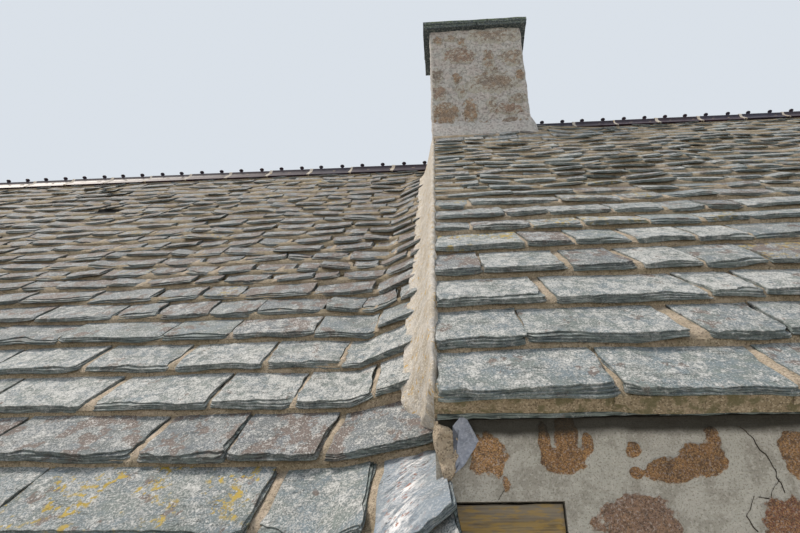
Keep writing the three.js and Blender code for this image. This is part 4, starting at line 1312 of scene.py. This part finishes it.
def coursed_boxes(rng, left, right, top_at, holes):
    """Boxes for the stones of a face, in rough courses, clear of the holes and under its top."""
    masonry = settings("masonry")
    joint = masonry.joint
    low, course = 0.02, 0
    highest = max(top_at(s) for s in np.linspace(left, right, 41))
    while low < highest - 0.08:
        height = rng.uniform(masonry.stone_low, masonry.stone_high)
        # A course on a gable begins and ends under the slopes
        reach = min(low + 0.7 * height, highest - 0.01)
        clear = [s for s in np.linspace(left, right, 161) if top_at(s) >= reach]
        start, stop = (clear[0], clear[-1]) if clear else (left, left)
        s = start
        while s < stop - 0.04:
            end_stone = s == start or s > stop - 0.6
            width = (0.42 if course % 2 else 0.27) if end_stone else rng.uniform(
                masonry.stone_narrow, masonry.stone_wide)
            end = s + width
            if stop - end < masonry.stone_narrow:
                end = stop
            box = [s, end, low, low + height - joint * rng.uniform(0.5, 1.2)]
            box[1] -= joint * rng.uniform(0.4, 1.1) if end < stop else 0
            top = min(top_at(box[0]), top_at(box[1])) - 0.02
            box[3] = min(box[3], top)
            for hole in holes:
                meets = hole[0] < box[1] and hole[1] > box[0] and hole[2] < box[3] and hole[3] > box[2]
                if meets and hole[0] - box[0] > box[1] - hole[1]:
                    box[1] = hole[0] - 0.015
                elif meets:
                    box[0] = hole[1] + 0.015
            if box[1] - box[0] > 0.08 and box[3] - box[2] > 0.06:
                yield box
            s = end
        low, course = low + height, course + 1


def box_of(node, axis="x"):
    """The left, right, low and high side of a node in its face."""
    low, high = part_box(node)
    return (getattr(low, axis), getattr(high, axis), low.z, high.z)


def holes_of(*names, axis="x"):
    """The boxes that doors and windows take in their face, with their lintels."""
    return [box_of(name + part, axis) for name in names for part in ("_frame", "_lintel")]


class COTTAGE_OT_build_walls(bpy.types.Operator):
    """Set the granite stones of the walls in their flush mortar"""

    bl_idname = "cottage.build_walls"
    bl_label = "Build walls"

    def execute(self, context):
        granite = {"house": rough_granite("granite_house", HOUSE_SOFFIT),
                   "wing": rough_granite("granite_wing", WING_SOFFIT),
                   "gable": rough_granite("granite_gable")}
        shape = slab(5, 4)
        house_eaves, wing_eaves = 2.215, 1.80
        front, back = FRONT_WALL, Face("x", 1, WALL_FACE)
        left, right = Face("y", -1, -WALL_LEFT), Face("y", 1, WALL_RIGHT)
        # Beside the corner the stones are laid one by one
        near = (JUNCTION - 0.1, 0.62, 1.84, 2.4)
        front_holes = [*holes_of("house_door", "house_left_window", "house_right_window"), near]
        house_slope = lambda s: min(HOUSE.apex - abs(s) * TAN - 0.10, 5.4)
        wing_slope = lambda s: min(WING.apex - abs(s) * TAN - 0.10, 5.0)
        house_top, wing_top = (lambda s: house_eaves), (lambda s: wing_eaves)
        house, wing = (JUNCTION + 0.01, WALL_RIGHT), (WALL_LEFT, JUNCTION - 0.01)
        across = (-WALL_FACE, WALL_FACE)
        walls = [
            ("house_front", front, house, house_top, front_holes),
            ("house_back", back, house, house_top, holes_of("house_back_window")),
            ("house_gable", right, across, house_slope, []),
            ("wing_front", front, wing, wing_top, holes_of("wing_window")),
            ("wing_back", back, wing, wing_top, []),
            ("wing_gable", left, across, wing_slope, holes_of("wing_door", axis="y")),
        ]
        for seed, (name, face, ends, top_at, holes) in enumerate(walls, 51):
            rng = np.random.default_rng(seed)
            pile = Pile()
            for box in coursed_boxes(rng, *ends, top_at, holes):
                proud = settings("masonry").proud * rng.uniform(0.7, 1.5)
                lay_stone(pile, shape, face, box, rng, proud, stone_finish(rng))
            kind = "gable" if "gable" in name else name.split("_")[0]
            pile.piece(f"{name}_stones", granite[kind], "rubble_wall", 50)
        shown, shape = Pile(), slab(36, 28)
        for number, (lobes, finish, wild) in enumerate(STONES_IN_VIEW):
            lay_shown_stone(shown, shape, front, lobes, 3.0 + number, finish, wild=wild)
        shown.piece("house_front_near_stones", granite["house"], "rubble_wall", 50)
        paint_nodes(wall_mortar("mortar_house", HOUSE_SOFFIT), "house_front_wall", "house_back_wall")
        paint_nodes(wall_mortar("mortar_wing", WING_SOFFIT), "wing_front_wall", "wing_back_wall")
        paint_nodes(wall_mortar("mortar_gable"), "house_right_gable", "party_gable", "wing_left_gable")
        return {"FINISHED"}


# Stones beside the corner of the house: lobes, then tone, shade, smear and red, then raggedness
STONES_IN_VIEW = [
    ([(-0.282, 2.162, 0.044, 0.052), (-0.252, 2.105, 0.01, 0.022)], (0.75, 0, 0.48, 0), 1.4),
    ([(-0.127, 2.151, 0.052, 0.033), (-0.166, 2.194, 0.014, 0.045), (-0.121, 2.203, 0.027, 0.055),
      (-0.075, 2.186, 0.013, 0.028)], (0.9, 0.35, 0.3, 0), 0.5),
    ([(0.1, 2.13, 0.068, 0.028), (0.16, 2.15, 0.05, 0.036), (0.184, 2.195, 0.02, 0.03)],
     (0.9, 0.45, 0.42, 0), 0.9),
    ([(0.017, 2.172, 0.018, 0.017)], (0.9, 0.3, 0.3, 0), 1),
    ([(0.016, 2.124, 0.015, 0.012)], (0.9, 0.3, 0.3, 0), 1),
    ([(0.35, 2.155, 0.038, 0.052)], (0.8, 0.3, 0.25, 0), 0.7),
    ([(0.005, 2.022, 0.085, 0.062), (0.03, 1.985, 0.07, 0.07)], (0.25, 0.15, 0.36, 0.45), 0.8),
    ([(0.3, 2.02, 0.062, 0.058), (0.33, 1.97, 0.08, 0.08)], (0.7, 0.3, 0.25, 1), 0.6),
    ([(0.48, 2.13, 0.08, 0.06)], (0.3, 0.1, 0.4, 0), 0.8),
    ([(0.5, 1.96, 0.07, 0.08)], (0.9, 0.2, 0.3, 0), 0.8),
    ([(0.15, 1.9, 0.05, 0.05)], (0.1, 0.1, 0.3, 0), 0.8),
]

# Stones of the stack's front: left, right, low, high, then tone, shade, smear and red
STACK_STONES = [
    (-0.02, 0.411, 6.367, 6.53, (0.1, 0, 0.7, 0)), (-0.379, -0.287, 6.378, 6.46, (0.9, 0, 0.3, 0)),
    (-0.148, -0.082, 6.347, 6.429, (0.9, 0, 0.3, 0)), (-0.287, -0.01, 6.141, 6.306, (0.35, 0, 0.5, 0.6)),
    (0.072, 0.16, 6.059, 6.265, (0.55, 0, 0.3, 0.1)), (0.226, 0.418, 6.09, 6.265, (0.35, 0, 0.7, 0)),
    (-0.39, -0.308, 5.905, 6.059, (0.1, 0.6, 0.4, 0)), (-0.21, -0.143, 5.895, 5.998, (1, 0, 0.2, 0)),
    (-0.071, 0.329, 5.772, 5.977, (0.3, 0.2, 0.5, 0)), (0.335, 0.418, 5.895, 6.008, (0.9, 0, 0.4, 0)),
    (-0.396, -0.266, 5.7, 5.874, (0.3, 0, 0.5, 0.5)), (-0.133, -0.02, 5.464, 5.7, (1, 0, 0.2, 0)),
    (-0.396, -0.195, 5.422, 5.648, (0.85, 0.1, 0.2, 0)), (0.149, 0.35, 5.515, 5.628, (0.2, 0, 0.3, 0.7)),
    (0.185, 0.35, 5.361, 5.464, (0.5, 0.5, 0.3, 0)), (0.35, 0.418, 5.27, 5.453, (0.7, 0.2, 0.3, 0)),
    (-0.338, -0.215, 5.225, 5.33, (0.5, 0.3, 0.4, 0)), (-0.154, 0.149, 5.23, 5.335, (0.4, 0.3, 0.3, 0.5)),
    (-0.27, -0.16, 6.4, 6.47, (0.2, 0, 0.8, 0)), (0.09, 0.19, 5.99, 6.045, (0.2, 0.2, 0.8, 0)),
    (-0.19, -0.09, 5.74, 5.86, (0.3, 0.1, 0.8, 0)), (0.06, 0.15, 5.56, 5.7, (0.3, 0.1, 0.8, 0)),
    (-0.06, 0.08, 5.36, 5.44, (0.3, 0.2, 0.7, 0.2)), (0.25, 0.4, 5.64, 5.74, (0.2, 0.1, 0.8, 0)),
]


class COTTAGE_OT_build_stack(bpy.types.Operator):
    """Build the stack's rubble, its mortar skirt and its capping slabs"""

    bl_idname = "cottage.build_stack"
    bl_label = "Build stack"

    def execute(self, context):
        granite, slate = rough_granite("granite_stack"), mossy_slate()
        rng = np.random.default_rng(61)
        pile = Pile()
        front = Face("x", -1, STACK_HIGH.y)
        fine, plain = slab(19, 15), slab(6, 5)
        for left, right, low, high, (tone, shade, smear, red) in STACK_STONES:
            lobe = ((left + right) / 2, (low + high) / 2, (right - left) * 0.66, (high - low) * 0.70)
            finish = (0.35 * tone, 0.5 * shade, 0.56 + 0.16 * smear, 0.5 * red)
            lay_shown_stone(pile, fine, front, [lobe], rng.uniform(0, 50), finish, proud=0.020, wild=1.1,
                            within=(STACK_LOW.x + 0.006, STACK_HIGH.x - 0.006))
        top = STACK_HIGH.z - 0.01
        sides = ((Face("x", 1, STACK_HIGH.y), STACK_LOW.x, STACK_HIGH.x),
                 (Face("y", 1, STACK_HIGH.x), -0.24, 0.24), (Face("y", -1, -STACK_LOW.x), -0.24, 0.24))
        # The roof hides the stack's sides below 5.3 m
        for face, left, right in sides:
            for box in coursed_boxes(rng, left, right, lambda s: top, [(left, right, 0.0, 5.30)]):
                lay_stone(pile, plain, face, box, rng, 0.006, stone_finish(rng))
        pile.piece("stack_stones", granite, "rubble_wall", 50)
        stack_skin()
        skirt_round_stack(rubble_mortar("mortar_skirt", 0.6))
        lay_capping(slate)
        return {"FINISHED"}


def stack_skin():
    """The stack's mortar, rough between the stones and rounded at the corners."""
    material = rubble_mortar("mortar_stack", 0.4)
    pile = Pile()
    shape = slab(180, 76)
    u, v, w = shape.points.T
    round_off = 0.012
    left, right, deep = STACK_LOW.x + round_off, STACK_HIGH.x - round_off, STACK_HIGH.y - round_off
    low, high = np.array([left, -deep]), np.array([right, deep])
    outer = np.array([[0.01, 1], [left - 1, 1], [left - 1, -1], [right + 1, -1], [right + 1, 1], [0.01, 1]])
    outer = np.clip(outer, low - round_off, high + round_off)
    reach = np.concatenate([[0], np.cumsum(np.linalg.norm(np.diff(outer, axis=0), axis=1))])
    around = np.interp(u, [0, 0.25, 0.75, 1], [0, reach[2], reach[3], reach[-1]])
    at = columns(np.interp(around, reach, outer[:, 0]), np.interp(around, reach, outer[:, 1]))
    core = np.clip(at, low, high)
    away = (at - core) / np.linalg.norm(at - core, axis=1)[:, None]
    z = mix(5.20, STACK_HIGH.z + 0.002, v)
    out = 0.0080 + 0.0045 * rough(around, z, 0.10, 1.0) + 0.0060 * rough(around, z, 0.045, 2.0)
    out = np.maximum(out + 0.0030 * rough(around, z, 0.018, 3.0), 0.002) + 0.018 * w
    place = core + away * (round_off + out)[:, None]
    pile.add(shape, columns(place[:, 0], place[:, 1], z))
    pile.piece("stack_mortar", material, "rubble_wall", 60)
    paint_nodes(material, "chimney_stack")


def lay_capping(material):
    """Two layers of rough slate slabs round the flue."""
    pile = Pile()
    shape = slab(28, 7, 2)
    u, v, w = shape.points.T
    x0, x1, y1 = CAP_LOW.x, CAP_HIGH.x, CAP_HIGH.y
    flue_x0, flue_x1, flue_y = -0.14, 0.16, 0.12
    for layer, (low, high, inset) in enumerate(((CAP_LOW.z, CAP_LOW.z + 0.040, 0.006),
                                                (CAP_LOW.z + 0.033, CAP_HIGH.z - 0.004, 0.0))):
        slabs = [(x0, 0.03 + 0.1 * layer, -y1, -flue_y), (0.022 + 0.1 * layer, x1, -y1, -flue_y),
                 (x0, 0.068, flue_y, y1), (0.060, x1, flue_y, y1),
                 (x0, flue_x0, -flue_y, flue_y), (flue_x1, x1, -flue_y, flue_y)]
        for number, (a, b, c, d) in enumerate(slabs):
            seed = 3.1 * number + 17.0 * layer
            x = mix(a + inset * (a == x0), b - inset * (b == x1), u)
            y = mix(c + inset * (c == -y1), d - inset * (d == y1), v)
            ragged = 0.008 * rough(x, w * 0.02, 0.09, seed) + 0.003 * rough(x, w * 0.03, 0.05, seed + 1)
            y = y + ragged * np.where(v < 0.5, 1, -1) * (np.abs(2 * v - 1) > 0.9) * (abs(d) > 0.2)
            x = x + 0.005 * rough(y, w * 0.02, 0.10, seed + 2) * (np.abs(2 * u - 1) > 0.94)
            z = mix(high, low, -w) + 0.004 * rough(x, y, 0.12, seed + 3)
            z = z + 0.0015 * rough(x, y, 0.06, seed + 4)
            growth = np.clip(w + 1, 0, 1) * (1.0 if layer else 0.5)
            pile.add(shape, columns(x, y, z), (0, np.clip(-w * 2, 0, 1), growth, 0))
    piece = pile.piece("stack_capping", material, "cap_slate", 40)
    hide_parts("chimney_cap")


# Corner of the house beside the wing: the cracks in its mortar, X and height
CRACKS = [
    [(0.2458, 2.2174), (0.2666, 2.194), (0.278, 2.167), (0.2941, 2.1365), (0.2966, 2.1088),
     (0.3029, 2.0816)],
    [(0.2966, 2.1088), (0.2688, 2.0705), (0.2484, 2.0745)],
    [(0.2391, 2.0765), (0.218, 2.0388), (0.2298, 2.0092)],
    [(-0.2548, 2.0991), (-0.2756, 2.0697)],
]


class COTTAGE_OT_finish_corner(bpy.types.Operator):
    """Set the timber end, flashing and bedding beside the corner, and paint the shade in the cracks of its
    mortar
    """

    bl_idname = "cottage.finish_corner"
    bl_label = "Finish corner"

    def execute(self, context):
        corner_timber_end()
        corner_sheet()
        corner_lumps()
        pile = Pile()
        shape = slab(30, 1)
        u, v, w = shape.points.T
        # Thin dark strips of painted shade along the cracks
        for number, line in enumerate(CRACKS):
            at, s, z = follow(np.array(line), u)
            s = s + 0.003 * rough(at, 0, 0.012, number) + (v - 0.5) * 0.0016
            z = z + (v - 0.5) * 0.0016 * (0.4 + abs(rough(at, 0, 0.02, number + 4)))
            out = 0.0012 + 0.002 * w
            pile.add(shape, FRONT_WALL.place(s, z, out), (0, 1, 0, 0), columns(s, out, z))
        pile.piece("wall_cracks", crack_shadow(), "rubble_wall")
        return {"FINISHED"}


def corner_timber_end():
    """The squared timber in the wall, its grain raised by weather."""
    low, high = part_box("corner_timber")
    pile = Pile()
    shape = slab(60, 40)
    u, v, w = shape.points.T
    x = mix(low.x + 0.001, high.x - 0.004, u)
    z = mix(low.z + 0.001, high.z - 0.005, v) + 0.0015 * rough(x, 0, 0.05, 2.0) * (v > 0.5)
    ribs = rough(x * 0.06, z, 0.007, 3.0)
    worn = np.clip((np.maximum(abs(2 * u - 1), abs(2 * v - 1)) - 0.93) / 0.07, 0, 1)
    out = -0.002 + 0.0022 * ribs - 0.004 * worn + w * 0.19
    pile.add(shape, FRONT_WALL.place(x, z, out))
    piece = pile.piece("corner_timber_end", weathered_oak(), "weathered_oak", 40)
    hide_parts("corner_timber")


def corner_sheet():
    """A scrap of sheet metal bent over at its left, tucked under the eaves."""
    pile = Pile()
    shape = slab(16, 24)
    u, v, w = shape.points.T
    z = mix(2.1250, 2.2410, v)
    left = np.interp(z, [2.1242, 2.1486, 2.1622, 2.1876, 2.2056, 2.2217, 2.2400],
                     [-0.3615, -0.3476, -0.3510, -0.3458, -0.3512, -0.3617, -0.3457])
    right = np.interp(z, [2.1242, 2.1410, 2.1928, 2.2417], [-0.3595, -0.3402, -0.3058, -0.3314])
    x = mix(left, right, u)
    fold = np.interp(x, [-0.362, -0.3445, -0.306], [-0.007, 0.0, 0.011])
    out = 0.016 + 0.10 * np.clip(z - 2.19, 0, 1) - fold + 0.0015 * rough(x, z, 0.02) + w * 0.0022
    pile.add(shape, FRONT_WALL.place(x, z, out))
    piece = pile.piece("corner_sheet", dull_sheet_metal(), "grey_flashing", 40)
    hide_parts("corner_flashing")


def corner_lumps():
    """Mortar pressed between the wing's last slabs, the verge and the wall."""
    pile = Pile()
    shape = slab(34, 48)
    u, v, w = shape.points.T
    z = mix(2.085, 2.240, v)
    left = np.interp(z, [2.10, 2.15, 2.19, 2.21, 2.24], [-0.380, -0.393, -0.404, -0.406, -0.400])
    right = np.interp(z, [2.110, 2.118, 2.130, 2.146, 2.158, 2.170, 2.204, 2.221, 2.230],
                      [-0.372, -0.364, -0.356, -0.3575, -0.353, -0.348, -0.3505, -0.3700, -0.392])
    x = mix(left, right, u)
    swell = [np.sqrt(np.clip(1 - ((x - a) / c) ** 2 - ((z - b) / d) ** 2, 0, 1))
             for a, b, c, d in ((-0.376, 2.190, 0.034, 0.040), (-0.366, 2.142, 0.022, 0.034))]
    out = 0.010 + 0.013 * np.maximum(*swell)
    out = out + 0.006 * rough(x, z, 0.03, 1.0) + 0.004 * rough(x, z, 0.011, 2.0)
    out = np.where((u < 0.02) | (u > 0.98) | (v > 0.98), -0.004, out) + w * 0.012
    points = FRONT_WALL.place(x + 0.004 * rough(z, 0, 0.02, 3.0) * u, z, out)
    pile.add(shape, points, (0.55, 0, 0, 0))
    piece = pile.piece("corner_mortar", lime_bedding("lime_bedding_corner"), "lime_mortar", 60)
    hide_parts("corner_bedding")


# Doors and windows
class COTTAGE_OT_hang_doors(bpy.types.Operator):
    """Make the boarded doors with their strap hinges and latch"""

    bl_idname = "cottage.hang_doors"
    bl_label = "Hang doors"

    def execute(self, context):
        paint, iron = weathered_paint(), black_iron()
        for name, axis in (("house_door", "x"), ("wing_door", "y")):
            low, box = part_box(name)[0], box_of(name, axis)
            face = Face(axis, -1, -low.y if axis == "x" else -low.x)
            boarded_door(name, face, box, paint)
            door_irons(name, face, box, iron)
        paint_nodes(paint, "house_door_frame", "wing_door_frame")
        paint_nodes(weathered_oak(), *[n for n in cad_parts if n.endswith("_lintel")])
        return {"FINISHED"}


def upright_bar(pile, shape, face, box, out, depth, round_off):
    """A board or bar on a face, with eased edges. box is left, right, low, high."""
    left, right, low, high = box
    u, v, w = shape.points.T
    ease = np.maximum(np.clip(1 - np.minimum(u, 1 - u) * (right - left) / round_off, 0, 1),
                      np.clip(1 - np.minimum(v, 1 - v) * (high - low) / round_off, 0, 1))
    out = out - round_off * ease ** 2 + w * (depth - round_off * ease ** 2)
    pile.add(shape, face.place(mix(left, right, u), mix(low, high, v), out), mirrored=face.mirrored)


def boarded_door(name, face, box, paint):
    """Upright boards with grooves between them, on two ledges behind."""
    joinery = settings("joinery")
    start, end, low, high = box
    count = round((end - start) / joinery.board)
    width = (end - start) / count
    pile, shape = Pile(), board_shape()
    for i in range(count):
        left = start + i * width + (joinery.groove / 2 if i else 0)
        right = start + (i + 1) * width - (joinery.groove / 2 if i < count - 1 else 0)
        upright_bar(pile, shape, face, (left, right, low, high), 0.0, 0.026, 0.004)
    for ledge in (low + 0.25, high - 0.35):
        box = (start + 0.03, end - 0.03, ledge, ledge + 0.12)
        upright_bar(pile, shape, face, box, -0.024, 0.020, 0.004)
    piece = pile.piece(f"{name}_boards", paint, "painted_wood", 30)
    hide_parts(name)


def board_shape():
    """A slab with extra rows near its edges, so that they can be eased."""
    shape = slab(5, 5)
    for axis in (0, 1):
        shape.points[:, axis] = np.interp(shape.points[:, axis], [0, 0.2, 0.4, 0.6, 0.8, 1],
                                          [0, 0.03, 0.35, 0.65, 0.97, 1])
    return shape


def door_irons(name, face, box, iron):
    """Two strap hinges, and a pull on its plate."""
    strap = settings("joinery").strap
    start, end, low, high = box
    middle = (low + high) / 2
    pile, shape = Pile(), board_shape()
    for box, out, depth, round_off in (
            ((start + 0.002, end - 0.16, low + 0.31, low + 0.31 + strap), 0.005, 0.006, 0.002),
            ((start + 0.002, end - 0.16, high - 0.29, high - 0.29 + strap), 0.005, 0.006, 0.002),
            ((end - 0.11, end - 0.07, middle - 0.09, middle + 0.09), 0.005, 0.006, 0.002),
            ((end - 0.10, end - 0.08, middle - 0.06, middle + 0.06), 0.034, 0.030, 0.006)):
        upright_bar(pile, shape, face, box, out, depth, round_off)
    pile.piece(f"{name}_irons", iron, "grey_flashing", 30)


class COTTAGE_OT_glaze_windows(bpy.types.Operator):
    """Add the glazing bars and slate sills of the windows"""

    bl_idname = "cottage.glaze_windows"
    bl_label = "Glaze windows"

    def execute(self, context):
        paint, glass, slate = weathered_paint(), plain_glass(), riven_schist()
        shape, sill = board_shape(), slab(24, 6)
        bar = settings("joinery").glazing_bar
        sills = Pile()
        for name, side in (("house_left_window", -1), ("house_right_window", -1), ("house_back_window", 1),
                           ("wing_window", -1)):
            low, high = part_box(f"{name}_glass")
            face = Face("x", side, abs(low.y + high.y) / 2)
            pile = Pile()
            middle = (low.x + high.x) / 2
            panes = 2 if name == "wing_window" else 3
            levels = [mix(low.z, high.z, i / panes) for i in range(1, panes)]
            boxes = [(middle - bar / 2, middle + bar / 2, low.z, high.z)]
            boxes += [(low.x, high.x, z - bar / 2, z + bar / 2) for z in levels]
            # The bars stand out of the glass on both its sides
            for out in (0.024, -0.004):
                for box in boxes:
                    upright_bar(pile, shape, face, box, out, 0.020, 0.005)
            pile.piece(f"{name}_bars", paint, "painted_wood", 30)
            paint_nodes(paint, f"{name}_frame")
            paint_nodes(glass, f"{name}_glass")
            frame_low, frame_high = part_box(f"{name}_frame")
            wall = Face("x", side, WALL_FACE)
            u, v, w = sill.points.T
            x = mix(frame_low.x - 0.04, frame_high.x + 0.04, u)
            out = mix(0.045, -0.115, v) + 0.004 * rough(x, 0, 0.06, frame_low.x) * (v < 0.1)
            z = frame_low.z + 0.002 + mix(-0.006, 0.0, v) + 0.028 * w
            sills.add(sill, wall.place(x, z, out), (0.3, 0.3, 0.4, 0), columns(x, out, z), wall.mirrored)
        sills.piece("window_sills", slate, "roof_slate", 40)
        return {"FINISHED"}


class COTTAGE_OT_finish_inside(bpy.types.Operator):
    """Give the floors and roof timbers their finishes"""

    bl_idname = "cottage.finish_inside"
    bl_label = "Finish inside"

    def execute(self, context):
        paint_nodes(worn_flagstones(), "house_floor", "wing_floor")
        paint_nodes(old_oak(), "house_roof_timbers", "wing_roof_timbers")
        return {"FINISHED"}


class COTTAGE_OT_set_stage(bpy.types.Operator):
    """Set the camera, the pale floor and the soft light"""

    bl_idname = "cottage.set_stage"
    bl_label = "Set stage"

    def execute(self, context):
        stage = settings("stage")
        camera = bpy.data.objects.new("camera", bpy.data.cameras.new("camera"))
        camera.data.lens = stage.lens
        camera.data.sensor_width = 36.0
        camera.data.clip_start, camera.data.clip_end = 0.05, 400.0
        camera.location = stage.eye
        camera.rotation_euler = (math.pi / 2 + stage.raised, 0, stage.turned)
        context.scene.collection.objects.link(camera)
        context.scene.camera = camera
        context.scene.view_settings.view_transform = "Standard"
        bm = bmesh.new()
        bmesh.ops.create_grid(bm, x_segments=1, y_segments=1, size=60)
        mesh = bpy.data.meshes.new("floor")
        bm.to_mesh(mesh)
        bm.free()
        mesh.materials.append(Finish("matt_floor", stage.floor, 0.9).done())
        floor = bpy.data.objects.new("floor", mesh)
        floor.location.z = -0.002
        context.scene.collection.objects.link(floor)
        floor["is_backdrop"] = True
        world = bpy.data.worlds.new("soft_backdrop")
        world.use_nodes = True
        world.node_tree.nodes["Background"].inputs[0].default_value = rgba(stage.sky)
        world.node_tree.nodes["Background"].inputs[1].default_value = 0.95
        context.scene.world = world
        sun = bpy.data.objects.new("key_light", bpy.data.lights.new("key_light", "SUN"))
        sun.data.energy = 3.6
        sun.data.angle = math.radians(14)
        sun.data.color = linear("#fff6ea")
        sun.rotation_euler = (math.radians(30.7), 0, math.radians(-101.3))
        context.scene.collection.objects.link(sun)
        return {"FINISHED"}


class COTTAGE_PT_panel(bpy.types.Panel):
    """Lists the cottage's settings and operators"""

    bl_label = "Cottage"
    bl_space_type = "VIEW_3D"
    bl_region_type = "UI"
    bl_category = "Cottage"

    def draw(self, context):
        for group, kind in SETTINGS.items():
            box = self.layout.box()
            for name in kind.__annotations__:
                box.prop(settings(group), name)
        for operator in OPERATORS:
            self.layout.operator(operator.bl_idname)


OPERATORS = (
    COTTAGE_OT_set_stage, COTTAGE_OT_lay_slates, COTTAGE_OT_bed_slates, COTTAGE_OT_form_verge,
    COTTAGE_OT_lay_ridge, COTTAGE_OT_build_walls, COTTAGE_OT_build_stack, COTTAGE_OT_finish_corner,
    COTTAGE_OT_hang_doors, COTTAGE_OT_glaze_windows, COTTAGE_OT_finish_inside,
)


def register():
    """Registers the settings, operators and panel."""
    for name, kind in SETTINGS.items():
        bpy.utils.register_class(kind)
        setattr(bpy.types.Scene, "cottage_" + name, bpy.props.PointerProperty(type=kind))
    for kind in (*OPERATORS, COTTAGE_PT_panel):
        bpy.utils.register_class(kind)


def unregister():
    """Takes the settings, operators and panel away."""
    for kind in (*OPERATORS, COTTAGE_PT_panel):
        bpy.utils.unregister_class(kind)
    for name, kind in SETTINGS.items():
        delattr(bpy.types.Scene, "cottage_" + name)
        bpy.utils.unregister_class(kind)


def main():
    """Builds the cottage's finish."""
    register()
    bpy.ops.cottage.set_stage()
    bpy.ops.cottage.lay_slates()
    bpy.ops.cottage.bed_slates()
    bpy.ops.cottage.form_verge()
    bpy.ops.cottage.lay_ridge()
    bpy.ops.cottage.build_walls()
    bpy.ops.cottage.build_stack()
    bpy.ops.cottage.finish_corner()
    bpy.ops.cottage.hang_doors()
    bpy.ops.cottage.glaze_windows()
    bpy.ops.cottage.finish_inside()
    boxes = {"cad": CAD_BOX, "visual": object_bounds()}
    {name: [list(corner) for corner in box] for name, box in boxes.items()}


if __name__ == "__main__":
    main()
